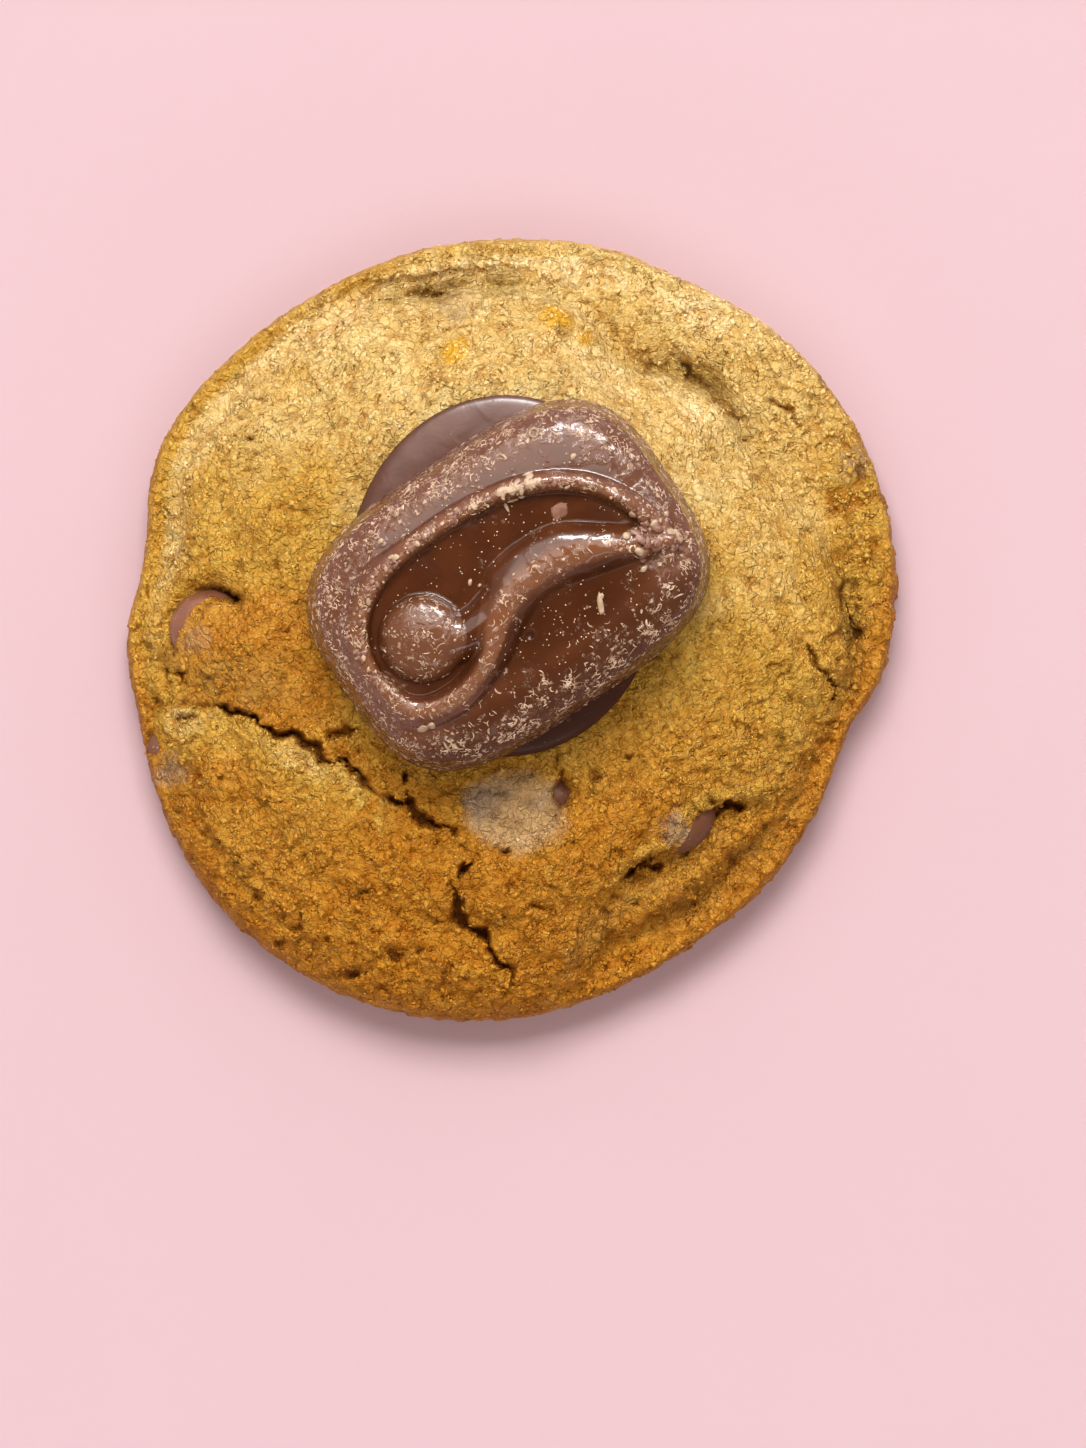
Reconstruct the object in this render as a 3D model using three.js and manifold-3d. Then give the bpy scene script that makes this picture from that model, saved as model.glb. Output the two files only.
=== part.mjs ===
// Chocolate chip cookie with a thin chocolate disc and a moulded praline lying on it.
// Millimetres, +Z up. The origin is the middle of the flat underside.

import * as THREE from 'three';
import { mergeVertices } from 'three/addons/utils/BufferGeometryUtils.js';
import Module from 'manifold-3d';

const wasm = await Module();
wasm.setup();

// Cookie outline seen from above: degrees from +X, radius
const OUTLINE = [
  [0, 38.3], [15, 39.5], [30, 40.0], [45, 40.0], [60, 39.2], [67, 39.0], [75, 39.3], [90, 39.0],
  [105, 38.9], [120, 38.7], [135, 39.0], [150, 39.5], [158, 38.9], [165, 37.6], [172, 37.4],
  [180, 38.3], [195, 38.3], [210, 39.4], [225, 40.3], [240, 40.4], [255, 40.0], [270, 39.1],
  [285, 37.7], [300, 36.6], [315, 36.3], [330, 35.7], [338, 35.3], [345, 35.6], [352, 37.3],
];

// Foot of the dome, where it meets the flatter rim: degrees from +X, distance in from the outline, depth
// of the groove along it
const DOME_FOOT = [
  [2, 4.7, 1.6], [9, 5.5, 1.2], [18, 6.5, 0.2], [34, 9.4, 0.8], [42, 9.2, 1.6], [50, 8.5, 2.0],
  [58, 9.0, 1.6], [64, 9.7, 1.0], [70, 8.8, 0.6], [76, 6.8, 0.6], [83, 5.4, 1.0], [97, 4.5, 1.6],
  [103, 4.6, 1.6], [108, 3.7, 1.3], [114, 2.6, 0.9], [120, 2.1, 0.7], [150, 1.9, 0.6], [165, 1.6, 0.5],
  [190, 1.5, 0.4], [200, 1.3, 0.8], [208, 0.9, 0.8], [217, 0.0, 0.2], [240, -0.6, 0], [278, 0.4, 0],
  [287, 3.9, 0.5], [296, 3.8, 0.9], [305, 3.6, 1.2], [314, 3.9, 1.2], [322, 2.9, 1.0], [330, 2.3, 0.9],
  [344, 1.6, 0.5], [353, 2.8, 1.2],
];
const GROOVE_INSIDE = 1.1;
const GROOVE_OUTSIDE = 1.9;

// Heights of the cookie
const EQUATOR_Z = 3.8;
const RIM_RISE = 3.6;
const RIM_WIDTH = 3.2;
const LOBE_RISE = 1.3;
const LOBE_RUN = 9;
const FOOT_Z = 7.2;
const DOME_RISE = 9.6;
const DOME_RUN = 19;
const DOME_POWER = 3;
const SHOULDER_RISE = 10;
const SHOULDER_RUN = 9;
const SHOULDER_BLEND = 3;
const RIM_BLEND = 0.8;
const EDGE_FADE = 1.5;
const LUMP = { height: 0.32, broad: [0.42, 0.37], fine: [0.83, 0.71], fineShare: 0.6, sway: [0.19, 0.23] };

// Side below the widest line: distance in, height
const UNDERCUT = [[0.15, 2.3], [0.6, 0.9], [1.6, 0]];

// Chocolate disc and its seat in the crust
const DISC = { x: -0.5, y: 5.2, a: 15.6, b: 18.0, z: 16.7, thickness: 2.8, edge: 1.25, sides: 44 };
const SEAT = { depth: 0.25, margin: 1, from: 1.02, to: 1.22 };
const GAP = 0.3;

// Moulded praline: rounded block with a scroll in relief, long way turned. The middle of its outline lies
// at (u, v) in its own level frame, which the scroll is given in too.
const PRALINE = {
  x: 0.1, y: 4.8, turn: 34, u: -0.5, v: -0.3, a: 19.4, b: 14.3, power: 3.4, sideZ: 7.4, rise: 4.6,
  draft: 0.045, crown: 4.2, foot: 0.6, scrollFrom: 0.95, scrollFade: 0.07,
};
const PRALINE_Z = DISC.z + DISC.thickness + GAP;

// The scroll: a ridge over the top and round to the ball's left, a band that passes under the ball and runs
// to the right tip, the ball, and the neck that joins it to the band
const UPPER_RIDGE = {
  points: [
    [15.0, -4.6], [14.6, -2.2], [13.4, 0.8], [11.6, 3.4], [9.3, 5.3], [6.2, 6.9], [3, 7.7], [0, 8.1],
    [-4, 8.2], [-8.4, 7.9], [-11.8, 7.0], [-14.7, 5.0], [-16.3, 2.2], [-16.8, -0.8], [-16.2, -3.8],
  ],
  height: 1.5, inside: 1.9, outside: 1.7,
};
const BAND = {
  points: [
    [-16.8, -1.6], [-16.2, -4.4], [-14.3, -6.2], [-11.3, -6.8], [-8.3, -6.3], [-5.6, -4.8], [-3.2, -2.7],
    [0, -1.2], [3.5, -0.9], [7, -1.6], [10, -2.8], [12.5, -4.1], [15.2, -5.6],
  ],
  height: 1.9, reach: 1.6, ringDrop: 0.35, swell: 1.1, swellFrom: [-7.5, -1],
  tipDrop: 1.1, slim: 1.2, slimFrom: [6, 15],
};
const NECK = { points: [[-9.2, -1.2], [-7, -2.2], [-4.5, -2.3], [-1.5, -1.6]], height: 1.75, reach: 2.55 };
const BALL = { x: -10.8, y: -0.5, radius: 4.35, height: 2.3, fullness: 0.42 };
const SCROLL_FLOOR = -0.7;
const RIDGE_POWER = 1.1;
const HOLLOW = { x: 2, y: -6, a: 12.5, b: 3, depth: 1.1 };

// Folds: a line along which the crust dips, or rises if the depth is negative, and how far the dip reaches
// on the left and on the right of the line's direction
const FOLDS = [
  {
    points: [
      [8.5, -27], [11, -25.6], [12.2, -24], [14, -23], [16.8, -22.3], [17.6, -20.4], [19.4, -18.4],
      [22.5, -17.2], [24.5, -17.2], [27, -17.8],
    ],
    depth: 2.9, left: 0.8, right: 3.2,
  },
  {
    points: [[-26.4, 2.2], [-28.5, 3.4], [-30.4, 3.5], [-32.2, 2.2], [-33.3, 0], [-33.4, -2.4]],
    depth: 2.7, left: 1.1, right: 1.5,
  },
  {
    points: [
      [32.4, -10.6], [30.6, -12.8], [29.6, -15.2], [28.2, -17.6], [26.2, -19.8], [23.4, -21.2],
      [20, -23.8], [16, -26.8], [12, -29.8], [8.8, -32.2],
    ],
    depth: -1.0, left: 1.8, right: 1.1,
  },
];

const FOLD_FADE = 0.6;

// Round swellings and pits: x, y, radius, height
const SWELLINGS = [
  [-28.6, -2.2, 3.6, 1.1], [-6, 28, 1.6, 0.7], [4.3, 31.2, 1.7, 0.6], [0.8, -18.4, 4.6, 0.5],
  [-35.9, -11.5, 0.9, -0.9], [5.3, -16.6, 1.5, -2.7], [-6, 32.4, 2.6, -0.6], [-3.8, -30, 2.4, -1.0],
  [12.8, -24.6, 1.3, -1.3],
];

// Cracks: a line, its width at the surface and its depth
const CRACKS = [
  {
    points: [
      [-31, -7.8], [-27.5, -8.3], [-24.2, -10.1], [-20.5, -11.4], [-18.2, -13], [-14.6, -14.8],
      [-13, -16.8], [-9.6, -17.8], [-7.6, -19.6], [-4.6, -21.4], [-3.2, -22.8], [-4.4, -24],
      [-5.8, -25.6], [-5, -28.6], [-2.6, -31], [-0.6, -33.4], [0.4, -35.4],
    ],
    width: 1.5, depth: 2.6,
  },
  { points: [[-10.5, -13.6], [-10.5, -15.6], [-10.0, -17.1]], width: 1.2, depth: 2.2 },
  { points: [[4.5, -12.6], [4.9, -14.4], [5.6, -16.2], [5.4, -18], [3.8, -20]], width: 0.8, depth: 1.4 },
  { points: [[30, -1.5], [30.5, -3.6], [31.6, -5.4], [32.7, -7.8]], width: 0.9, depth: 1.6 },
];
const CRACK_STEP = 1.6;
const CRACK_LID = 2.5;
const CRACK_WANDER = 0.12;
const CRACK_END_DEPTH = 0.75;

// Chips: place of the middle, half sizes, turn about +Z and tilt towards +X, degrees
const CHIPS = [
  { name: 'chip_upper_left', at: [-29.9, -0.1, 9.4], half: [4.2, 4.0, 3.3], turn: 20, tilt: 8 },
  { name: 'chip_lower_right', at: [17.0, -18.9, 10.4], half: [3.9, 3.3, 2.8], turn: 50, tilt: 0 },
  { name: 'chip_lower_middle', at: [2.4, -17.3, 12.7], half: [4.4, 3.4, 2.2], turn: 8, tilt: -14 },
  { name: 'chip_left_edge', at: [-34.6, -12.0, 5.6], half: [1.9, 2.5, 1.6], turn: 10, tilt: 0 },
];

// Mesh fineness
const COOKIE_SPOKES = 96;
const COOKIE_RINGS = 30;
const COOKIE_CROWDING = 1.45;
const PRALINE_SPOKES = 90;
const PRALINE_RINGS = 23;
const PRALINE_CROWDING = 1.12;
const CHIP_SIDES = 16;
const CHIP_BANDS = 9;

const FINISH = {
  crust: { color: 0xcf9a4c, roughness: 0.8, metalness: 0 },
  praline: { color: 0x6f4a38, roughness: 0.42, metalness: 0 },
  disc: { color: 0x5c3a2c, roughness: 0.3, metalness: 0 },
  chip: { color: 0x55362a, roughness: 0.38, metalness: 0 },
};

const rad = THREE.MathUtils.degToRad;

function unit(value) {
  return Math.min(1, Math.max(0, value));
}

function ramp(value, low, high) {
  const t = unit((value - low) / (high - low));
  return t * t * (3 - 2 * t);
}

function softMax(a, b, reach) {
  const overlap = Math.max(reach - Math.abs(a - b), 0) / reach;
  return Math.max(a, b) + (overlap * overlap * reach) / 4;
}

function softMin(a, b, reach) {
  return -softMax(-a, -b, reach);
}

// Smooth value of one column of a table of rows around the full circle
function around(rows, column, degrees) {
  const count = rows.length;
  const row = (i) => {
    const turns = Math.floor(i / count);
    const source = rows[i - turns * count];
    return [source[0] + 360 * turns, source[column]];
  };
  const angle = ((degrees - rows[0][0]) % 360 + 360) % 360 + rows[0][0];
  let i = count - 1;
  while (rows[i][0] > angle) i -= 1;
  const [[x0, y0], [x1, y1], [x2, y2], [x3, y3]] = [row(i - 1), row(i), row(i + 1), row(i + 2)];
  const span = x2 - x1;
  const t = (angle - x1) / span;
  const slope1 = ((y2 - y0) / (x2 - x0)) * span;
  const slope2 = ((y3 - y1) / (x3 - x1)) * span;
  return (
    y1 * (2 * t ** 3 - 3 * t ** 2 + 1) + slope1 * (t ** 3 - 2 * t ** 2 + t)
    + y2 * (3 * t ** 2 - 2 * t ** 3) + slope2 * (t ** 3 - t ** 2)
  );
}

// Points along a smooth line through the given ones
function smoothLine(points, step) {
  const curve = new THREE.CatmullRomCurve3(points.map(([x, y]) => new THREE.Vector3(x, y, 0)));
  return curve.getSpacedPoints(Math.max(2, Math.round(curve.getLength() / step)));
}

// Distance to a line of points, which side of it (left is positive) and how far along it, 0 to 1
function nearest(line, x, y) {
  const best = { distance: Infinity, side: 1, along: 0 };
  for (let i = 0; i + 1 < line.length; i += 1) {
    const [a, b] = [line[i], line[i + 1]];
    const [dx, dy] = [b.x - a.x, b.y - a.y];
    const t = unit(((x - a.x) * dx + (y - a.y) * dy) / (dx * dx + dy * dy));
    const [ex, ey] = [x - a.x - t * dx, y - a.y - t * dy];
    const distance = Math.hypot(ex, ey);
    if (distance < best.distance) {
      best.distance = distance;
      best.side = dx * ey - dy * ex >= 0 ? 1 : -1;
      best.along = (i + t) / (line.length - 1);
    }
  }
  return best;
}

for (const fold of FOLDS) fold.line = smoothLine(fold.points, 1);
for (const ridge of [UPPER_RIDGE, BAND, NECK]) ridge.line = smoothLine(ridge.points, 0.8);

// Height of the crust's upper face
function crustHeight(x, y) {
  const degrees = (Math.atan2(y, x) * 180) / Math.PI;
  const inward = around(OUTLINE, 1, degrees) - Math.hypot(x, y);
  const foot = around(DOME_FOOT, 1, degrees);
  const quarter = (width) => Math.sqrt(1 - (1 - unit(inward / width)) ** 2);
  const rim = EQUATOR_Z + RIM_RISE * quarter(RIM_WIDTH) + LOBE_RISE * unit((inward - RIM_WIDTH) / LOBE_RUN);
  const shoulder = EQUATOR_Z + SHOULDER_RISE * quarter(SHOULDER_RUN) + Math.max(inward - SHOULDER_RUN, 0);
  const dome = FOOT_Z + DOME_RISE * (1 - (1 - unit((inward - foot) / DOME_RUN)) ** DOME_POWER);
  const blend = (reach) => Math.min(reach, inward + 0.1);
  let z = softMax(rim, softMin(dome, shoulder, blend(SHOULDER_BLEND)), blend(RIM_BLEND));

  const fromFoot = inward - foot;
  const groove = fromFoot > 0 ? fromFoot / GROOVE_INSIDE : fromFoot / GROOVE_OUTSIDE;
  const clearOfEdge = unit(inward / EDGE_FADE);
  z -= around(DOME_FOOT, 2, degrees) * Math.exp(-groove * groove) * clearOfEdge;

  for (const fold of FOLDS) {
    const near = nearest(fold.line, x, y);
    const reach = near.side > 0 ? fold.left : fold.right;
    const fade = Math.sin(Math.PI * near.along) ** FOLD_FADE;
    z -= fold.depth * fade * Math.exp(-((near.distance / reach) ** 2)) * clearOfEdge;
  }
  for (const [cx, cy, radius, height] of SWELLINGS) {
    z += height * Math.exp(-(((x - cx) ** 2 + (y - cy) ** 2) / radius ** 2)) * clearOfEdge;
  }
  const { height, broad, fine, fineShare, sway } = LUMP;
  const [swayX, swayY] = [2 * Math.sin(sway[0] * y), Math.sin(sway[1] * x)];
  const lumps = Math.sin(broad[0] * x + swayX) * Math.sin(broad[1] * y + swayY)
    + fineShare * Math.sin(fine[0] * x + swayY + 2) * Math.sin(fine[1] * y + swayX);
  z += height * lumps * clearOfEdge;

  const fromDisc = Math.hypot((x - DISC.x) / (DISC.a + SEAT.margin), (y - DISC.y) / (DISC.b + SEAT.margin));
  return z + (DISC.z + SEAT.depth - z) * ramp(-fromDisc, -SEAT.to, -SEAT.from);
}

// Height of the scroll above the praline's plain top, in the praline's level frame
const RING_START = 4;
const SCROLL_INSIDE = [...UPPER_RIDGE.line, ...BAND.line.slice(RING_START)];
function insideScroll(u, v) {
  let inside = false;
  for (let i = 0, j = SCROLL_INSIDE.length - 1; i < SCROLL_INSIDE.length; j = i, i += 1) {
    const [p, q] = [SCROLL_INSIDE[i], SCROLL_INSIDE[j]];
    if (p.y > v !== q.y > v && u < ((q.x - p.x) * (v - p.y)) / (q.y - p.y) + p.x) inside = !inside;
  }
  return inside;
}

function scrollHeight(u, v) {
  const inside = insideScroll(u, v);
  const fromHollow = ((u - HOLLOW.x) / HOLLOW.a) ** 4 + ((v - HOLLOW.y) / HOLLOW.b) ** 2;
  const ground = inside ? SCROLL_FLOOR : -HOLLOW.depth * Math.exp(-fromHollow);
  const raised = (ridge, height, reach) => {
    const across = unit(nearest(ridge.line, u, v).distance / reach);
    return ground + (height - ground) * (1 - across ** 2) ** RIDGE_POWER;
  };
  const slimming = ramp(u, ...BAND.slimFrom);
  const bandHeight = BAND.height - BAND.ringDrop * (1 - ramp(u, ...BAND.swellFrom)) - BAND.tipDrop * slimming;
  const bandReach = BAND.reach + BAND.swell * ramp(u, ...BAND.swellFrom) - BAND.slim * slimming;
  let z = Math.max(
    raised(UPPER_RIDGE, UPPER_RIDGE.height, inside ? UPPER_RIDGE.inside : UPPER_RIDGE.outside),
    raised(BAND, bandHeight, bandReach),
    raised(NECK, NECK.height, NECK.reach),
  );
  const fromBall = ((u - BALL.x) ** 2 + (v - BALL.y) ** 2) / BALL.radius ** 2;
  if (fromBall < 1) {
    z = Math.max(z, SCROLL_FLOOR + (BALL.height - SCROLL_FLOOR) * (1 - fromBall) ** BALL.fullness);
  }
  return z;
}

// Closed body from rings of points, from the top's middle to the underside's middle
function closedRings(topMiddle, rings, bottomMiddle) {
  const count = rings[0].length;
  const position = [...topMiddle, ...rings.flat(2), ...bottomMiddle];
  const last = position.length / 3 - 1;
  const index = [];
  const at = (ring, i) => 1 + ring * count + ((i + count) % count);
  for (let i = 0; i < count; i += 1) {
    index.push(0, at(0, i), at(0, i + 1));
    index.push(last, at(rings.length - 1, i + 1), at(rings.length - 1, i));
    for (let ring = 0; ring + 1 < rings.length; ring += 1) {
      const even = (i + ring) % 2 === 0;
      const [a, b, c, d] = [at(ring, i), at(ring + 1, i), at(ring + 1, i + 1), at(ring, i + 1)];
      index.push(...(even ? [a, b, c, a, c, d] : [a, b, d, b, c, d]));
    }
  }
  const geometry = new THREE.BufferGeometry();
  geometry.setAttribute('position', new THREE.Float32BufferAttribute(position, 3));
  geometry.setIndex(index);
  return geometry;
}

function toSolid(geometry) {
  const plain = geometry.clone();
  plain.deleteAttribute('normal');
  plain.deleteAttribute('uv');
  const merged = mergeVertices(plain, 1e-4);
  return new wasm.Manifold(new wasm.Mesh({
    numProp: 3,
    vertProperties: new Float32Array(merged.attributes.position.array),
    triVerts: new Uint32Array(merged.index.array),
  }));
}

function toGeometry(solid) {
  const mesh = solid.getMesh();
  const geometry = new THREE.BufferGeometry();
  geometry.setAttribute('position', new THREE.BufferAttribute(new Float32Array(mesh.vertProperties), 3));
  geometry.setIndex(Array.from(mesh.triVerts));
  return geometry;
}

// Cookie body: rings of the upper face, closer together towards the edge, then the undercut side
function cookieBody() {
  const spoke = (i) => (i / COOKIE_SPOKES) * 360;
  const ringAt = (distance, height) => Array.from({ length: COOKIE_SPOKES }, (_, i) => {
    const radius = distance(around(OUTLINE, 1, spoke(i)));
    const [x, y] = [radius * Math.cos(rad(spoke(i))), radius * Math.sin(rad(spoke(i)))];
    return [x, y, height(x, y)];
  });
  const rings = [];
  for (let ring = 1; ring < COOKIE_RINGS; ring += 1) {
    const share = 1 - (1 - ring / COOKIE_RINGS) ** COOKIE_CROWDING;
    rings.push(ringAt((radius) => radius * share, crustHeight));
  }
  rings.push(ringAt((radius) => radius, () => EQUATOR_Z));
  for (const [inset, height] of UNDERCUT) rings.push(ringAt((radius) => radius - inset, () => height));
  return closedRings([0, 0, crustHeight(0, 0)], rings, [0, 0, 0]);
}

// Disc with rounded edges, grown outwards and downwards by a margin for the seat that it leaves in the crust
function discBody(margin) {
  const { a, b, thickness, edge, sides } = DISC;
  const ringAt = (inset, z) => Array.from({ length: sides }, (_, i) => {
    const angle = (i / sides) * 2 * Math.PI;
    return [(a - inset + margin) * Math.cos(angle), (b - inset + margin) * Math.sin(angle), z];
  });
  const rings = [ringAt(a / 2, thickness)];
  const rounds = [[thickness - edge, [90, 60, 30, 0]], [edge - margin, [0, -30, -60, -90]]];
  for (const [middle, degrees] of rounds) {
    for (const angle of degrees) {
      rings.push(ringAt(edge * (1 - Math.cos(rad(angle))), middle + edge * Math.sin(rad(angle))));
    }
  }
  return closedRings([0, 0, thickness], rings, [0, 0, -margin]);
}

// Praline: superellipse rings under a rounded top that carries the scroll, drafted sides, small foot
function pralineBody() {
  const { a, b, power, sideZ, rise, draft, crown, foot, scrollFrom, scrollFade } = PRALINE;
  const middle = [PRALINE.u, PRALINE.v];
  const ringAt = (share, height) => Array.from({ length: PRALINE_SPOKES }, (_, i) => {
    const angle = (i / PRALINE_SPOKES) * 2 * Math.PI;
    const [c, s] = [Math.cos(angle), Math.sin(angle)];
    const reach = share / (Math.abs(c / a) ** power + Math.abs(s / b) ** power) ** (1 / power);
    const [u, v] = [middle[0] + reach * c, middle[1] + reach * s];
    return [u, v, height(u, v)];
  });
  const top = (share) => (u, v) => {
    const edge = unit(share / (1 - draft));
    const plain = sideZ + rise * (1 - edge ** crown) ** 0.5;
    return plain + scrollHeight(u, v) * unit((scrollFrom - edge) / scrollFade);
  };
  const rings = [];
  for (let ring = 1; ring <= PRALINE_RINGS; ring += 1) {
    const share = (1 - draft) * (1 - (1 - ring / PRALINE_RINGS) ** PRALINE_CROWDING);
    rings.push(ringAt(share, top(share)));
  }
  rings.push(ringAt(1 - draft / 2, () => sideZ / 2));
  rings.push(ringAt(1, () => foot));
  rings.push(ringAt(1 - foot / b, () => 0));
  return closedRings([...middle, top(0)(...middle)], rings, [...middle, 0]);
}

// Wedge along a line, open side up, that cuts a crack into the crust
function crackBody(crack) {
  const line = smoothLine(crack.points, CRACK_STEP);
  const tip = (point, next) => new THREE.Vector3().subVectors(point, next).setLength(CRACK_STEP / 2);
  const start = tip(line[0], line[1]).add(line[0]);
  const end = tip(line.at(-1), line.at(-2)).add(line.at(-1));
  const position = [start.x, start.y, crustHeight(start.x, start.y)];
  for (const [i, point] of line.entries()) {
    const [before, after] = [line[Math.max(i - 1, 0)], line[Math.min(i + 1, line.length - 1)]];
    const along = new THREE.Vector3().subVectors(after, before).normalize();
    const half = crack.width * (0.5 - CRACK_WANDER + CRACK_WANDER * Math.sin(2 * i));
    const middle = Math.sin((Math.PI * (i + 1)) / (line.length + 1));
    const deep = crack.depth * (CRACK_END_DEPTH + (1 - CRACK_END_DEPTH) * middle);
    const z = crustHeight(point.x, point.y);
    const flare = (CRACK_LID + deep) / deep;
    position.push(point.x - along.y * half * flare, point.y + along.x * half * flare, z + CRACK_LID);
    position.push(point.x + along.y * half * flare, point.y - along.x * half * flare, z + CRACK_LID);
    position.push(point.x, point.y, z - deep);
  }
  position.push(end.x, end.y, crustHeight(end.x, end.y));
  const last = position.length / 3 - 1;
  const index = [];
  const at = (i, corner) => 1 + i * 3 + corner;
  for (let corner = 0; corner < 3; corner += 1) {
    const next = (corner + 1) % 3;
    index.push(0, at(0, next), at(0, corner));
    index.push(last, at(line.length - 1, corner), at(line.length - 1, next));
    for (let i = 0; i + 1 < line.length; i += 1) {
      index.push(at(i, corner), at(i, next), at(i + 1, next));
      index.push(at(i, corner), at(i + 1, next), at(i + 1, corner));
    }
  }
  const geometry = new THREE.BufferGeometry();
  geometry.setAttribute('position', new THREE.Float32BufferAttribute(position, 3));
  geometry.setIndex(index);
  return geometry;
}

function chipBody(chip, margin) {
  const ball = new THREE.SphereGeometry(1, CHIP_SIDES, CHIP_BANDS);
  ball.rotateX(Math.PI / 2);
  ball.scale(...chip.half.map((size) => size + margin));
  ball.rotateY(rad(chip.tilt));
  ball.rotateZ(rad(chip.turn));
  return ball;
}

function addMesh(group, name, geometry, finish) {
  const material = new THREE.MeshStandardMaterial(finish);
  const mesh = new THREE.Mesh(geometry, material);
  mesh.name = name;
  group.add(mesh);
  return mesh;
}

const cookie = new THREE.Group();

// The crust is the cookie body less its cracks, the disc's seat and the chips' pockets
let crust = toSolid(cookieBody());
for (const crack of CRACKS) crust = crust.subtract(toSolid(crackBody(crack)));
for (const chip of CHIPS) crust = crust.subtract(toSolid(chipBody(chip, GAP).translate(...chip.at)));
crust = crust.subtract(toSolid(discBody(GAP).translate(DISC.x, DISC.y, DISC.z)));
addMesh(cookie, 'cookie', toGeometry(crust), FINISH.crust);

for (const chip of CHIPS) {
  addMesh(cookie, chip.name, toGeometry(toSolid(chipBody(chip, 0))), FINISH.chip).position.set(...chip.at);
}

addMesh(cookie, 'chocolate_disc', discBody(0), FINISH.disc).position.set(DISC.x, DISC.y, DISC.z);

const praline = addMesh(cookie, 'praline', pralineBody(), FINISH.praline);
praline.position.set(PRALINE.x, PRALINE.y, PRALINE_Z);
praline.rotation.z = rad(PRALINE.turn);

export default cookie;
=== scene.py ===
import math

import bpy
import numpy as np
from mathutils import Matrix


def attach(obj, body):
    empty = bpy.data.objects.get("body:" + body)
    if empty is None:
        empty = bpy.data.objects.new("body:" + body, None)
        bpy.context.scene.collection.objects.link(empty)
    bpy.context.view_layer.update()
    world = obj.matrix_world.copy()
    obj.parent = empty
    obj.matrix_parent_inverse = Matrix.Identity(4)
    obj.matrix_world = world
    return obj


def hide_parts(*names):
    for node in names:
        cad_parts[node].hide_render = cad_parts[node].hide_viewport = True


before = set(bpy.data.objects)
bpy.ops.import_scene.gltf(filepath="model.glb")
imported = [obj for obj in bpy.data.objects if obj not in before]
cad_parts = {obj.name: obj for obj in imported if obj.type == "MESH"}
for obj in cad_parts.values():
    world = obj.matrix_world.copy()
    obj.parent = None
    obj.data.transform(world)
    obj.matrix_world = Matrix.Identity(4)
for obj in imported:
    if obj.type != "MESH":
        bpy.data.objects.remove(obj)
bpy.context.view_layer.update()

MM = 0.001

# Cookie outline seen from above: degrees from +X, radius
OUTLINE = [
    (0, 38.3), (15, 39.5), (30, 40.0), (45, 40.0), (60, 39.2), (67, 39.0), (75, 39.3), (90, 39.0),
    (105, 38.9), (120, 38.7), (135, 39.0), (150, 39.5), (158, 38.9), (165, 37.6), (172, 37.4),
    (180, 38.3), (195, 38.3), (210, 39.4), (225, 40.3), (240, 40.4), (255, 40.0), (270, 39.1),
    (285, 37.7), (300, 36.6), (315, 36.3), (330, 35.7), (338, 35.3), (345, 35.6), (352, 37.3),
]

# Foot of the dome: degrees from +X, distance in from the outline, depth of the groove along it
DOME_FOOT = [
    (2, 4.7, 1.6), (9, 5.5, 1.2), (18, 6.5, 0.2), (34, 9.4, 0.8), (42, 9.2, 1.6), (50, 8.5, 2.0),
    (58, 9.0, 1.6), (64, 9.7, 1.0), (70, 8.8, 0.6), (76, 6.8, 0.6), (83, 5.4, 1.0), (97, 4.5, 1.6),
    (103, 4.6, 1.6), (108, 3.7, 1.3), (114, 2.7, 0.7), (120, 2.3, 0.4), (150, 2.1, 0.35), (165, 1.7, 0.4),
    (190, 1.5, 0.4), (200, 1.3, 0.8), (208, 0.9, 0.8), (217, 0.0, 0.2), (240, -0.6, 0), (278, 0.4, 0),
    (287, 3.9, 0.5), (296, 3.8, 0.9), (305, 3.6, 1.2), (314, 3.9, 1.2), (322, 2.9, 1.0), (330, 2.3, 0.9),
    (344, 1.6, 0.5), (353, 2.8, 1.2),
]
GROOVE_INSIDE = 0.75
GROOVE_OUTSIDE = 1.5
GROOVE_DEEPER = 1.3

EQUATOR_Z = 3.8
UNDER_INSET = 1.6
RIM_RISE = 3.6
RIM_WIDTH = 3.2
LOBE_RISE = 1.3
LOBE_RUN = 9.0
FOOT_Z = 7.2
DOME_RISE = 9.6
DOME_RUN = 19.0
DOME_POWER = 3
SHOULDER_RISE = 10.0
SHOULDER_RUN = 9.0
SHOULDER_BLEND = 3.0
RIM_BLEND = 0.8
EDGE_FADE = 1.5
LUMP = {"height": 0.32, "broad": (0.42, 0.37), "fine": (0.83, 0.71), "fine_share": 0.6, "sway": (0.19, 0.23)}

DISC = {"x": -0.5, "y": 5.2, "a": 15.6, "b": 18.0, "z": 16.7, "thickness": 2.8, "edge": 1.25}
SEAT = {"depth": 0.25, "margin": 1.0, "from": 1.02, "to": 1.22}
GAP = 0.3

# Colours of the chocolates, each between two tints: praline, disc and chips
MILK = ((0.108, 0.031, 0.010), (0.070, 0.018, 0.005))
DARK = ((0.105, 0.034, 0.018), (0.080, 0.024, 0.012))
CHIP_BROWN = ((0.27, 0.105, 0.055), (0.18, 0.066, 0.035))

PRALINE = {
    "x": 0.1, "y": 4.8, "turn": 34, "u": -0.5, "v": -0.3, "a": 19.4, "b": 14.3, "power": 3.4, "side_z": 7.4,
    "rise": 4.6, "draft": 0.045, "crown": 4.2, "foot": 0.6,
}
PRALINE_Z = DISC["z"] + DISC["thickness"] + GAP

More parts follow.
